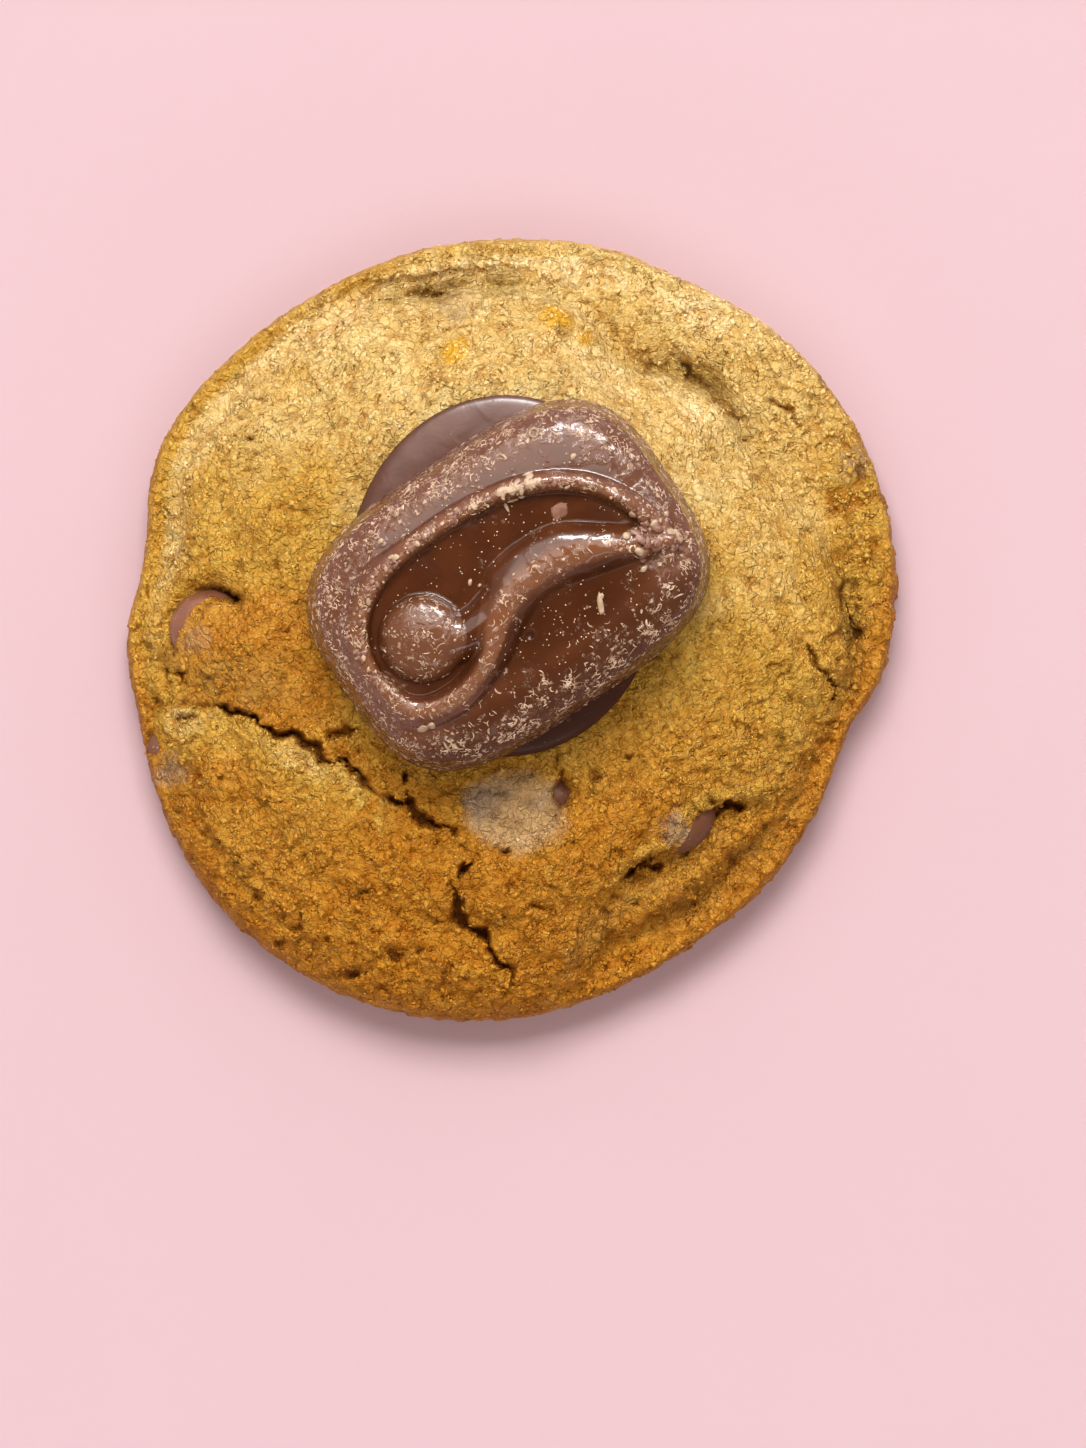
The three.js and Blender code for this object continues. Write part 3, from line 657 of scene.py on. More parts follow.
class Finish:
    """A material with short calls for building its node tree. Sizes and distances are in millimetres."""

    def __init__(self, name):
        self.material = bpy.data.materials.new(name)
        self.material.use_nodes = True
        self.tree = self.material.node_tree
        self.tree.nodes.clear()
        self.shader = self.add("ShaderNodeBsdfPrincipled")
        self.tree.links.new(self.shader.outputs[0], self.add("ShaderNodeOutputMaterial").inputs[0])
        self.place = self.add("ShaderNodeTexCoord").outputs["Object"]

    def add(self, kind, **settings):
        node = self.tree.nodes.new(kind)
        for key, value in settings.items():
            setattr(node, key, value)
        return node

    def fill(self, node, values):
        """Sets the node's inputs, each to a number, a colour or another node's output."""
        for key, value in values.items():
            socket = node.inputs[key]
            if isinstance(value, bpy.types.NodeSocket):
                self.tree.links.new(value, socket)
            elif socket.type == "RGBA":
                socket.default_value = (*value, 1.0)
            else:
                socket.default_value = value
        return node

    def finish(self, colour, roughness, specular, bump, distance):
        """Feeds the shader and gives back the material."""
        node = self.fill(self.add("ShaderNodeBump"), {"Height": bump, "Distance": distance * MM})
        self.fill(self.shader, {"Base Color": colour, "Roughness": roughness})
        self.fill(self.shader, {"Specular IOR Level": specular, "Normal": node.outputs[0]})
        return self.material

    def texture(self, kind, size, place=None, **settings):
        node = self.add("ShaderNodeTex" + kind, **settings)
        return self.fill(node, {"Vector": place or self.place, "Scale": 1 / (size * MM)})

    def noise(self, size, detail=3.0, distortion=0.0, roughness=0.5):
        """Noise with lumps of about the given size, 0 to 1."""
        values = {"Detail": detail, "Roughness": roughness, "Distortion": distortion}
        return self.fill(self.texture("Noise", size), values).outputs["Fac"]

    def dots(self, size, place, low, high):
        """1 in small dots, one in each cell of about the given size, and 0 between them."""
        cell = self.texture("Voronoi", size, place, feature="F1")
        return self.ramp(cell.outputs["Distance"], low, high, 1.0, 0.0)

    def facets(self, size, place):
        """Crumb-like cells: the gap between them, and two random numbers and a tilted height for each."""
        gap = self.texture("Voronoi", size, place, feature="DISTANCE_TO_EDGE").outputs["Distance"]
        cell = self.texture("Voronoi", size, place, feature="F1")
        away = self.vector("SUBTRACT", place, cell.outputs["Position"]).outputs[0]
        lean = self.vector("SUBTRACT", cell.outputs["Color"], (0.5, 0.5, 0.5)).outputs[0]
        tilt = self.times(self.vector("DOT_PRODUCT", away, lean).outputs["Value"], 1.6 / (size * MM))
        first, second = self.parts(cell.outputs["Color"])[:2]
        height = self.math("ADD", self.math("ADD", self.times(first, 0.5), tilt), 0.35)
        return gap, first, second, self.times(height, self.ramp(gap, 0.0, 0.16, 0.35, 1.0))

    def swayed(self, size, amount):
        """Object coordinates moved about by noise."""
        node = self.fill(self.texture("Noise", size), {"Detail": 2.0})
        middle = self.vector("SUBTRACT", node.outputs["Color"], (0.5, 0.5, 0.5)).outputs[0]
        shift = self.add("ShaderNodeVectorMath", operation="SCALE")
        self.fill(shift, {0: middle, "Scale": 2 * amount * MM})
        return self.vector("ADD", self.place, shift.outputs[0]).outputs[0]

    def vector(self, operation, a, b):
        return self.fill(self.add("ShaderNodeVectorMath", operation=operation), {0: a, 1: b})

    def math(self, operation, a, b=0.0, clamp=False):
        node = self.add("ShaderNodeMath", operation=operation, use_clamp=clamp)
        return self.fill(node, {0: a, 1: b}).outputs[0]

    def times(self, a, b, clamp=False):
        return self.math("MULTIPLY", a, b, clamp)

    def total(self, value, *parts):
        """The value and each part times its share."""
        for part, share in parts:
            value = self.math("ADD", value, self.times(part, share))
        return value

    def ramp(self, value, low, high, to_low=0.0, to_high=1.0):
        node = self.add("ShaderNodeMapRange", interpolation_type="SMOOTHSTEP")
        values = {"Value": value, "From Min": low, "From Max": high, "To Min": to_low, "To Max": to_high}
        return self.fill(node, values).outputs[0]

    def mix(self, share, a, b, blend="MIX"):
        node = self.add("ShaderNodeMix", data_type="RGBA", blend_type=blend)
        return self.fill(node, {"Factor": share, 6: a, 7: b}).outputs[2]

    def layers(self, colour, *coats, blend="MIX"):
        """The colour under coats, each with its mask, its strength and its own colour."""
        for mask, strength, coat in coats:
            colour = self.mix(self.times(mask, strength), colour, coat, blend)
        return colour

    def parts(self, colour):
        return self.fill(self.add("ShaderNodeSeparateColor"), {0: colour}).outputs

    def masks(self, name):
        """The four masks that paint has stored in the mesh."""
        attribute = self.add("ShaderNodeAttribute", attribute_name=name, attribute_type="GEOMETRY")
        parts = self.parts(attribute.outputs["Color"])
        return parts[0], parts[1], parts[2], attribute.outputs["Alpha"]

    def creases(self, size, thin, wide, detail=2, sway=1.0):
        """Thin wandering lines, 1 on them and 0 between."""
        line = self.math("ABSOLUTE", self.math("SUBTRACT", self.noise(size, detail, sway), 0.5))
        return self.ramp(line, thin, wide, 1.0, 0.0)

    def patches(self, size, low, high, detail=2, sway=0.0):
        """1 in patches of about the given size and 0 between them."""
        return self.ramp(self.noise(size, detail, sway), low, high)


# Crust colours, each between two tints: lightest (pale lips, and partly painted light on the rims facing the
# key), pale top, middle and well baked edge
LIGHT_TAN_AND_LIT_RIM = ((0.95, 0.72, 0.36), (0.90, 0.64, 0.27))
PALE_TAN = ((0.82, 0.60, 0.245), (0.75, 0.505, 0.165))
TAN = ((0.60, 0.335, 0.052), (0.66, 0.39, 0.070))
BAKED = ((0.50, 0.20, 0.018), (0.60, 0.275, 0.032))
DOUGH_FILM = ((0.52, 0.32, 0.145), (0.61, 0.39, 0.195))
DOUGH_FILM_FLAKE = (0.74, 0.54, 0.29)
CRACK_SHADE = (0.15, 0.048, 0.007)
VALLEY_SHADE_OLIVE = (0.36, 0.235, 0.06)
GREY_CHIP_AND_SHADE = (0.38, 0.26, 0.175)
AMBER = (0.76, 0.39, 0.028)
SUGAR_AND_GLINT = (1.0, 0.88, 0.62)
LIGHTER = (1.15, 1.22, 1.40)

SCUFFED_MILK = (0.185, 0.068, 0.032)
CREST_MILK = (0.23, 0.086, 0.036)
HAZE = (0.36, 0.185, 0.105)
MARKS = (0.64, 0.43, 0.28)
DUST = (0.85, 0.64, 0.36)


def crust_tone(n, brown, mottle, broad):
    """Crust colour from the lightest, partly painted light on the lit rims (below zero), through the pale top
    and tan to the well baked edge.
    """
    light = n.mix(n.ramp(mottle, 0.35, 0.65), *LIGHT_TAN_AND_LIT_RIM)
    pale_tan = n.mix(n.ramp(broad, 0.35, 0.65), *PALE_TAN)
    tan = n.mix(n.ramp(mottle, 0.35, 0.7), *TAN)
    baked = n.mix(n.ramp(mottle, 0.35, 0.7), *BAKED)
    browning = n.math("ADD", brown, n.ramp(mottle, 0.2, 0.8, -0.08, 0.08))
    colour = n.mix(n.ramp(browning, -0.32, 0.05), light, pale_tan)
    colour = n.mix(n.ramp(browning, 0.0, 0.42), colour, tan)
    return n.mix(n.ramp(browning, 0.42, 0.95), colour, baked)


def crust_material():
    n = Finish("crust")
    brown, crevice_shade, deep, amber = n.masks("bake_and_painted_light")
    pale, grey, low, valley_shade = n.masks("patch_and_shade")
    mottle = n.noise(2.4, 4, 0.6, 0.6)
    grain = n.noise(0.36, 2, 0.2, 0.5)
    flake_place = n.swayed(1.0, 0.6)
    flake_gap, flake_dark, flake_light, flake_height = n.facets(1.0, flake_place)
    crumb_gap, _, crumb_dark, crumb_height = n.facets(0.52, n.swayed(0.6, 0.35))
    seam = n.times(n.ramp(flake_gap, 0.0, 0.09, 1.0, 0.0), n.patches(1.4, 0.45, 0.58))
    fine_seam = n.times(n.ramp(crumb_gap, 0.0, 0.12, 1.0, 0.0), n.patches(1.1, 0.48, 0.60, sway=0.5))
    long_crease = n.times(n.creases(1.8, 0.003, 0.014), n.patches(2.1, 0.54, 0.59))
    short_crease = n.times(n.creases(1.0, 0.006, 0.024), n.patches(1.1, 0.54, 0.59))
    pore = n.times(n.dots(1.15, flake_place, 0.06, 0.12), n.patches(1.7, 0.55, 0.62))
    # Pale sugar specks, partly a painted glint.
    speck = n.times(n.dots(0.5, n.swayed(3.0, 0.3), 0.09, 0.17), n.patches(0.9, 0.52, 0.60, detail=1))

    colour = n.layers(
        crust_tone(n, brown, mottle, n.noise(8.0, 2)),
        (n.ramp(flake_dark, 0.0, 1.0, 1.0, 0.0), 0.6, (0.88, 0.78, 0.60)),
        (n.ramp(flake_light, 0.55, 1.0), 0.8, LIGHTER),
        (n.ramp(crumb_dark, 0.7, 1.0), 0.6, (0.88, 0.75, 0.50)),
        (n.ramp(grain, 0.56, 0.74), 0.7, LIGHTER),
        # Painted shade: darker in the seams between the flakes and crumbs, in the creases and in the pores.
        (fine_seam, 0.35, (0.85, 0.70, 0.45)),
        (seam, 0.5, (0.78, 0.60, 0.34)),
        (short_crease, 0.7, (0.70, 0.49, 0.22)),
        (long_crease, 0.9, (0.50, 0.31, 0.12)),
        (pore, 0.8, (0.45, 0.27, 0.10)),
        # Painted shade: darker where the relief is low and in the crevices.
        (low, 0.4, (0.85, 0.72, 0.48)),
        (crevice_shade, 0.8, (0.60, 0.40, 0.18)),
        blend="MULTIPLY",
    )
    colour = n.layers(
        colour,
        # Painted shade: an olive tone in the valleys.
        (valley_shade, 0.7, VALLEY_SHADE_OLIVE),
        (pale, 0.8, n.mix(n.ramp(mottle, 0.3, 0.7), *DOUGH_FILM)),
        # Grey where chocolate lies under the crust, partly painted shade in the top fold and upper right
        # groove.
        (grey, n.ramp(n.noise(0.9, 3), 0.3, 0.65, 0.55, 0.95), GREY_CHIP_AND_SHADE),
        (amber, 0.95, AMBER),
        (speck, 0.85, SUGAR_AND_GLINT),
        # Painted shade deep in the cracks and holes and round the chips.
        (deep, 1.0, CRACK_SHADE),
    )
    rough = n.math("SUBTRACT", n.ramp(grain, 0.3, 0.7, 0.56, 0.42), n.times(speck, 0.3), clamp=True)
    height = n.total(
        flake_height,
        (crumb_height, 0.42), (grain, 0.25), (speck, 0.3),
        (short_crease, -0.5), (long_crease, -0.8), (pore, -1.0),
    )
    return n.finish(colour, rough, n.total(0.05, (speck, 0.25)), height, 0.34)


def flake_material():
    """The crust's own colours on its small flakes, each a little lighter or darker."""
    n = Finish("crust_flake")
    brown, lighter, pale, _ = n.masks("bake_and_painted_light")
    colour = crust_tone(n, brown, n.noise(2.4, 4, 0.6, 0.6), n.noise(8.0, 2))
    colour = n.layers(colour, (pale, 0.8, DOUGH_FILM_FLAKE))
    colour = n.layers(
        colour,
        (n.ramp(lighter, 0.5, 1.0), 0.8, (1.15, 1.22, 1.38)),
        (n.ramp(lighter, 0.0, 0.5, 1.0, 0.0), 0.6, (0.86, 0.74, 0.50)),
        blend="MULTIPLY",
    )
    return n.finish(colour, n.ramp(lighter, 0.0, 1.0, 0.65, 0.5), 0.06, n.noise(0.2, 2), 0.04)


def chocolate_material(name, base, dark, roughness, specular=0.5):
    """Milk chocolate: glossy where clean, rough and pale where the stored mask says it is scuffed, and darker
    with painted shade where it says shaded.
    """
    n = Finish(name)
    scuffed, shaded, dusty, crest = n.masks("wear_and_shade")
    clouds = n.noise(3.5, 3, 0.4)
    _, first, second, _ = n.facets(0.30, n.swayed(0.4, 0.3))
    patches = n.ramp(n.math("ADD", scuffed, n.ramp(n.noise(1.6, 3), 0.3, 0.7, -0.5, 0.5)), 0.4, 0.8)
    curl = n.times(n.creases(0.62, 0.006, 0.022, 1.5, 1.3), n.patches(0.9, 0.50, 0.56))
    marks = n.math("MAXIMUM", n.times(n.ramp(first, 0.86, 0.9), n.ramp(second, 0.35, 0.45)), curl)
    marks = n.times(marks, patches, clamp=True)
    haze = n.times(n.ramp(n.noise(0.55, 4, 0.8, 0.65), 0.5, 0.75), patches, clamp=True)
    dust = n.times(n.patches(0.8, 0.56, 0.62, detail=1), dusty)
    dust = n.times(n.dots(0.5, n.swayed(2.0, 0.3), 0.10, 0.16), dust, clamp=True)
    colour = n.layers(
        n.mix(n.ramp(clouds, 0.3, 0.7), base, dark),
        (scuffed, 0.65, SCUFFED_MILK),
        (crest, 0.65, CREST_MILK),
        # Painted shade: darker where the mask says shaded.
        (shaded, 0.7, tuple(0.6 * c for c in dark)),
        (haze, 0.3, HAZE),
        (marks, 0.7, MARKS),
        (dust, 0.9, DUST),
    )
    rough = n.total(n.ramp(clouds, 0.3, 0.7, roughness - 0.04, roughness + 0.05), (patches, 0.09))
    rough = n.math("ADD", rough, n.times(n.math("MAXIMUM", marks, haze), 0.3), clamp=True)
    height = n.total(
        n.times(n.noise(0.6, 3), n.times(patches, 0.5)),
        (n.noise(2.2, 2, 0.6), 0.9), (marks, 0.9), (haze, 0.4), (dust, 1.0),
    )
    return n.finish(colour, rough, n.ramp(shaded, 0.0, 1.0, specular, 0.35 * specular), height, 0.09)


def crumb_material(name, light, dark):
    n = Finish(name)
    colour = n.mix(n.ramp(n.noise(0.9, 3), 0.35, 0.65), light, dark)
    return n.finish(colour, n.ramp(n.noise(0.4, 2), 0.3, 0.7, 0.42, 0.6), 0.4, n.noise(0.25, 3), 0.05)


# Cookie crust

class CrustPoints:
    """The points of the crust's plain mesh, and what the relief and the masks are worked out from."""

    def __init__(self, mesh):
        self.p = mesh_points(mesh)
        self.normal = mesh_normals(mesh)
        self.x, self.y, self.z = self.p.T
        self.degrees = np.degrees(np.arctan2(self.y, self.x))
        self.inward = around(OUTLINE, 1, self.degrees) - np.hypot(self.x, self.y)
        self.foot = around(DOME_FOOT, 1, self.degrees)
        self.groove = around(DOME_FOOT, 2, self.degrees)
        self.upper = self.normal[:, 2] > 0.02
        self.under = self.z < 0.05
        self.inner_under = self.under & (self.inward > UNDER_INSET + 1.2)
        self.pores = ramp(noise(self.p, 1.1, 60) + 0.5 * noise(self.p, 0.5, 61), 0.35, 0.7)
        torn = sway(sway(self.p, 2.1, 0.6, SEED), 0.9, 0.34, SEED + 5)
        self.torn_x, self.torn_y = torn[:, 0], torn[:, 1]
        self.right_rim = ramp(self.x, 28.5, 32.0) * self.near_edge(7.5, 5.0)
        self.right_rim *= ramp(self.y, -7, -2) * ramp(-self.y, -22, -14)

    def near_edge(self, start, full):
        """0 further in from the outline than start, 1 nearer to it than full."""
        return ramp(-self.inward, -start, -full)

    def towards(self, degrees):
        """1 in the given direction from the middle, -1 in the opposite one."""
        return np.cos(np.radians(self.degrees - degrees))

    def beside(self, line, gap, reach, side):
        """A soft band along one side of a torn line, and how far along the line each point lies."""
        distance, side_of, along = nearest(smooth_line(line, 0.8), self.torn_x, self.torn_y)
        return bell(distance - gap, reach) * (side_of * side > 0), along

    def on_lump(self, lump, shift_x=0.0, shift_y=0.0):
        """Place in an amber lump, in half sizes from its middle."""
        cx, cy, size, turn, _ = lump
        dx, dy = self.torn_x - cx - shift_x, self.torn_y - cy - shift_y
        u = dx * math.cos(turn) + dy * math.sin(turn)
        v = dy * math.cos(turn) - dx * math.sin(turn)
        return u / size, v / (0.5 * size)


def crust_shell():
    def reach(angle):
        return around(OUTLINE, 1, np.degrees(angle))

    def top(share, angle):
        radius = reach(angle) * (1 - (1 - share**0.85) ** 1.12)
        return oval(radius, radius, angle, crust_height(radius * np.cos(angle), radius * np.sin(angle)))

    def side(turn):
        def ring(angle):
            radius = reach(angle) - UNDER_INSET * (1 - math.cos(turn))
            return oval(radius, radius, angle, EQUATOR_Z * (1 - math.sin(turn)))
        return ring

    def bottom(share, angle):
        radius = (reach(angle) - UNDER_INSET - 0.5) * share
        return oval(radius, radius, angle, 0.0)

    sides = [side((k + 1) / SIDE_RINGS * math.pi / 2) for k in range(SIDE_RINGS)]
    return new_mesh("crust", *closed_shell(CRUST_GRID, top, sides, bottom))


def crust_cuts(c):
    """Depths of the cracks, the stray cracks and the holes."""
    rng = np.random.default_rng(SEED)
    wide = 0.2 + 0.95 * ramp(noise(c.p, 2.6, 33), -0.55, 0.45) + 0.35 * noise(c.p, 0.8, 34)
    cut = crack_depth(CRACKS, c.torn_x, c.torn_y, np.maximum(wide, 0.08))
    small_cut = 0.8 * crack_depth(stray_cracks(rng), c.torn_x, c.torn_y, np.ones(len(c.p)))
    holes = hole_depth(HOLES, c.torn_x, c.torn_y)
    return cut, small_cut, np.maximum(holes, 0.7 * hole_depth(stray_holes(rng), c.torn_x, c.torn_y))


def crust_relief(c):
    """Height of the crumbs, lips and lumps above the plain crust, with masks of the painted shade in the gaps
    and of the lips.
    """
    flat_p = c.p * np.array([1, 1, 0.6])
    first, second, pick, lean = cells(sway(flat_p, 1.3, 0.45, 11), 1.45, 12)
    _, _, broad_pick, broad_lean = cells(sway(flat_p, 3.5, 1.0, 14), 3.6, 15)
    lump, _, lump_pick, _ = cells(sway(flat_p, 2.0, 0.5, 44), 2.3, 45)
    gap = ramp(-(second - first), -0.20, 0.0)
    coarse = 0.65 + 0.65 * ramp(-c.y, -12, 18) + 0.3 * c.near_edge(7, 2)
    coarse += 0.6 * ramp(c.foot - c.inward, -1, 1) * ramp(c.foot, 3, 6)
    relief = 0.12 * rough_noise(c.p, 5.0, 2, 20) + 0.09 * noise(c.p, 0.9, 22) * coarse
    relief += (0.20 * (pick - 0.5) + 0.40 * lean) * coarse - 0.12 * gap * ramp(noise(c.p, 2.6, 41), 0.0, 0.5)
    relief += (0.12 * (broad_pick - 0.5) + 0.16 * broad_lean) * coarse
    relief *= 1 - 0.35 * ramp(1 - unit(np.hypot(c.x - 0.3, c.y + 0.5) / 34), 0.25, 0.75)
    relief += c.right_rim * (1.1 * (1 - lump**2) * (0.5 + lump_pick) - 0.6)

    fold_lip, along = c.beside(FOLDS[0][0], 0.9, 0.7, 1)
    fold_lip *= np.sin(np.pi * along) ** 0.5
    crest = bell(c.inward - c.foot - 1.4, 0.9) * ramp(c.groove, 0.8, 1.8)
    relief += 0.38 * fold_lip + 0.30 * crest * (0.7 + 0.8 * noise(c.p, 1.6, 46))
    left_foot = 0.55 * ramp(c.towards(140), 0.50, 0.85) + 0.45 * ramp(c.towards(202), 0.84, 0.95)
    relief -= left_foot * bell(c.inward - 2.9 - 0.8 * noise(c.p, 4.0, 47), 0.55)
    for amber_lump in AMBER_LUMPS:
        u, v = c.on_lump(amber_lump)
        relief += amber_lump[4] * bell(u, 1) * bell(v, 1)

    # Painted shade in the gaps between the crumbs.
    crevice_shade = 0.7 * gap * ramp(noise(c.p, 2.6, 41), -0.2, 0.4)
    return relief, crevice_shade, 0.9 * c.right_rim * ramp(lump, 0.55, 0.85), fold_lip


def open_chips(c, z, moved_x, moved_y):
    """Sinks the crust below the chips where they show and lifts it over them elsewhere."""
    frayed = sway(c.p, 0.8, 0.2, SEED + 9)
    edge_of_chip = np.zeros(len(c.p))
    for name, outline in OPENINGS:
        chip, over = chip_top(name, moved_x, moved_y)
        depth = depth_inside(outline, frayed[:, 0], frayed[:, 1])
        covered = np.where(over, np.maximum(z, chip + COVER), z)
        opened = np.where(over, np.minimum(z, chip - OPENING_DROP), z - 0.8)
        near = c.upper & (np.abs(depth) < 3)
        z = np.where(near, covered + (opened - covered) * ramp(depth, -0.22, 0.22), z)
        edge_of_chip = np.maximum(edge_of_chip, ramp(depth, -0.5, 0.1) * near)
    return z, edge_of_chip


def crust_browning_and_light(c, fold_lip):
    """How brown the crust is painted: below 0 the palest, 1 the brownest. Mostly baking, partly painted light
    on the rims facing the key, and a painted highlight on the fold's lip.
    """
    crack_lip, along = c.beside([point for points, _, _ in CRACKS[:2] for point in points], 1.4, 2.6, -1)
    on_rim = ramp(c.foot - c.inward, -0.5, 0.5) * ramp(c.foot, 0.3, 1.5)
    # Paler towards the top, browner towards the bottom.
    brown = 0.44 - 0.50 * c.towards(82) * ramp(np.hypot(c.x, c.y), 0, 26)
    for cx, cy, reach_x, reach_y, strength in BROWNER:
        brown += strength * bell(c.x - cx, reach_x) * bell(c.y - cy, reach_y)
    brown += on_rim * (0.06 + 0.10 * bell(c.degrees - 128, 32))
    brown += (0.04 + 0.42 * ramp(-c.towards(100), -0.4, 0.5)) * c.near_edge(2.8, 0.6)
    brown += 0.35 * c.near_edge(6.0, 2.5) * bell(c.degrees + 45, 32)
    # Paler near the edge towards the upper left: pale crust, partly painted light on the rims facing the key.
    brown -= 0.42 * c.near_edge(5.5, 1.8) * ramp(c.towards(118), -0.1, 0.8)
    brown += 0.46 * c.near_edge(2.6, 1.0) * ramp(c.towards(122), 0.25, 0.8)
    # Paler along the fold's lip: a painted highlight; paler along the main crack's lip.
    brown += 0.10 * c.right_rim - 0.58 * crack_lip * ramp(-along, -0.85, -0.5) - 0.32 * fold_lip
    brown += 0.35 * ramp(-c.z, -6.0, -1.0) + 0.16 * noise(c.p, 8.0, 70)
    return np.clip(np.where(c.under, 1.0, brown), -0.4, 1.0)


def crust_valley_shade(c):
    """Mask of painted shade, an olive tone, along the dome's foot, in the lower right dip and by the upper
    left chip.
    """
    from_foot = c.inward - c.foot
    valley_shade = bell(from_foot, np.where(from_foot > 0, 1.1, 1.6)) * ramp(c.groove, 0.5, 1.6) * c.upper
    inner_dip, along = c.beside(FOLDS[2][0], 1.9, 1.2, -1)
    by_chip = bell(c.x + 27, 5.5) * bell(c.y + 5.4, 3.2)
    valley_shade = np.maximum(np.maximum(valley_shade, by_chip), 0.8 * inner_dip * ramp(along, 0.3, 0.6))
    return unit(valley_shade * (0.55 + 0.45 * noise(c.p, 2.5, 111)))


def make_crust():
    mesh = crust_shell()
    c = CrustPoints(mesh)
    cut, small_cut, holes = crust_cuts(c)
    relief, crevice_shade, lump_gap_shade, fold_lip = crust_relief(c)
    keep = np.where(c.under, 0.0, 1.0) * ramp(c.z, 0.0, 1.2) * (1 - 0.6 * c.near_edge(2.0, 0.2))
    moved = c.p + c.normal * (relief * keep)[:, None]
    moved[:, 2] -= (cut + small_cut + holes) * keep * c.upper
    z, edge_of_chip = open_chips(c, moved[:, 2], moved[:, 0], moved[:, 1])
    moved[:, 2] = np.where(c.under, 0.0, np.maximum(z, 0.02)) + np.where(c.inner_under, 0.45 * c.pores, 0)
    set_points(mesh, moved)

    brown = crust_browning_and_light(c, fold_lip)
    # Painted shade in the cracks, holes, pores below and the gaps between the rim's lumps.
    crevice_shade = unit(crevice_shade + 1.2 * holes + 1.1 * cut + 1.6 * small_cut)
    crevice_shade = unit(crevice_shade + c.pores * c.inner_under + lump_gap_shade)
    # Painted shade deep in the cracks and holes and round the chips' edges.
    deep = ramp(cut, 0.7, 1.9) + 0.5 * ramp(small_cut, 0.35, 0.9) + 0.8 * ramp(holes, 0.28, 0.75)
    deep = unit(deep + 0.6 * edge_of_chip)
    amber = np.zeros(len(c.p))
    for lump in AMBER_LUMPS:
        amber = np.maximum(amber, ramp(-np.hypot(*c.on_lump(lump, 0.25, -0.45)), -1.15, -0.5))
    paint(mesh, "bake_and_painted_light", brown, crevice_shade, deep, amber)

    cx, cy, reach_x, reach_y = PALE_PATCH
    pale = ramp(-np.hypot((c.torn_x - cx) / reach_x, (c.torn_y - cy) / reach_y), -1.15, -0.75) * c.upper
    grey = np.zeros(len(c.p))
    for cx, cy, radius, strength in GREY_SPOTS:
        spot = ramp(-np.hypot(c.torn_x - cx, c.torn_y - cy) / radius, -1.3, -0.4)
        grey = np.maximum(grey, strength * spot)
    # Masks: the pale dough over a chip, grey where chocolate lies under the crust (partly painted shade),
    # painted shade where the relief is low, and painted shade in the dips.
    paint(mesh, "patch_and_shade", pale, grey * c.upper, ramp(-relief, 0.02, 0.28) * c.upper, crust_valley_shade(c))
    add_piece(mesh, "crust", crust_material(), "cookie")
    bare = np.maximum(np.maximum(deep, edge_of_chip), 0.7 * grey) + 0.6 * pale
    return mesh, brown, pale, unit(1 - 1.4 * bare) * (c.normal[:, 2] > -0.1) * (c.z > 1.0)


def make_flakes(crust, brown, pale, room):
    """Small bent flakes of the crust, each a wedge with two tips, lying on it at all angles."""
    rng = np.random.default_rng(SEED + 4)
    places = mesh_points(crust)
    clump = 0.25 + ramp(noise(places, 2.2, 141), -0.3, 0.4)
    count = CRUST_FLAKES
    chosen = rng.choice(len(places), size=count, p=room * clump / (room * clump).sum())
    n = mesh_normals(crust)[chosen] + rng.normal(0, 0.22, (count, 3))
    n /= np.linalg.norm(n, axis=1)[:, None]
    t, b = level_frame(n, rng)
    jitter_t, jitter_b = rng.uniform(-0.15, 0.15, (count, 1)), rng.uniform(-0.15, 0.15, (count, 1))
    half = np.minimum(0.15 + 0.07 * rng.gamma(2.0, 1.0, count), 0.55)[:, None]
    width = half * rng.uniform(0.35, 0.8, half.shape)
    tall = 0.03 + 0.20 * half * rng.uniform(0.3, 1.0, half.shape)
    centre = places[chosen] + t * jitter_t + b * jitter_b - 0.05 * n
    middle = centre + b * half * rng.uniform(-0.5, 0.5, half.shape)
    corners = (
        centre - t * half, centre + t * half, middle + b * width, middle - b * width, middle + n * tall,
        middle - n * 0.08,
    )
    points = np.stack(corners, axis=1).reshape(-1, 3)
    wedge = np.array([(0, 3, 4), (3, 1, 4), (1, 2, 4), (2, 0, 4), (3, 0, 5), (1, 3, 5), (2, 1, 5), (0, 2, 5)])
    faces = (wedge[None] + 6 * np.arange(count)[:, None, None]).reshape(-1, 3)
    clear_of_floor = (points[:, 2] > 0.05).reshape(-1, 6).all(1)
    mesh = new_mesh("crust_flakes", points, faces[np.repeat(clear_of_floor, len(wedge))])
    tint = np.clip(brown[chosen] + rng.normal(0, 0.08, count), -0.4, 1.0)
    paint(mesh, "bake_and_painted_light", np.repeat(tint, 6), np.repeat(rng.random(count), 6), np.repeat(pale[chosen], 6))
    add_piece(mesh, "crust", flake_material())


# Praline

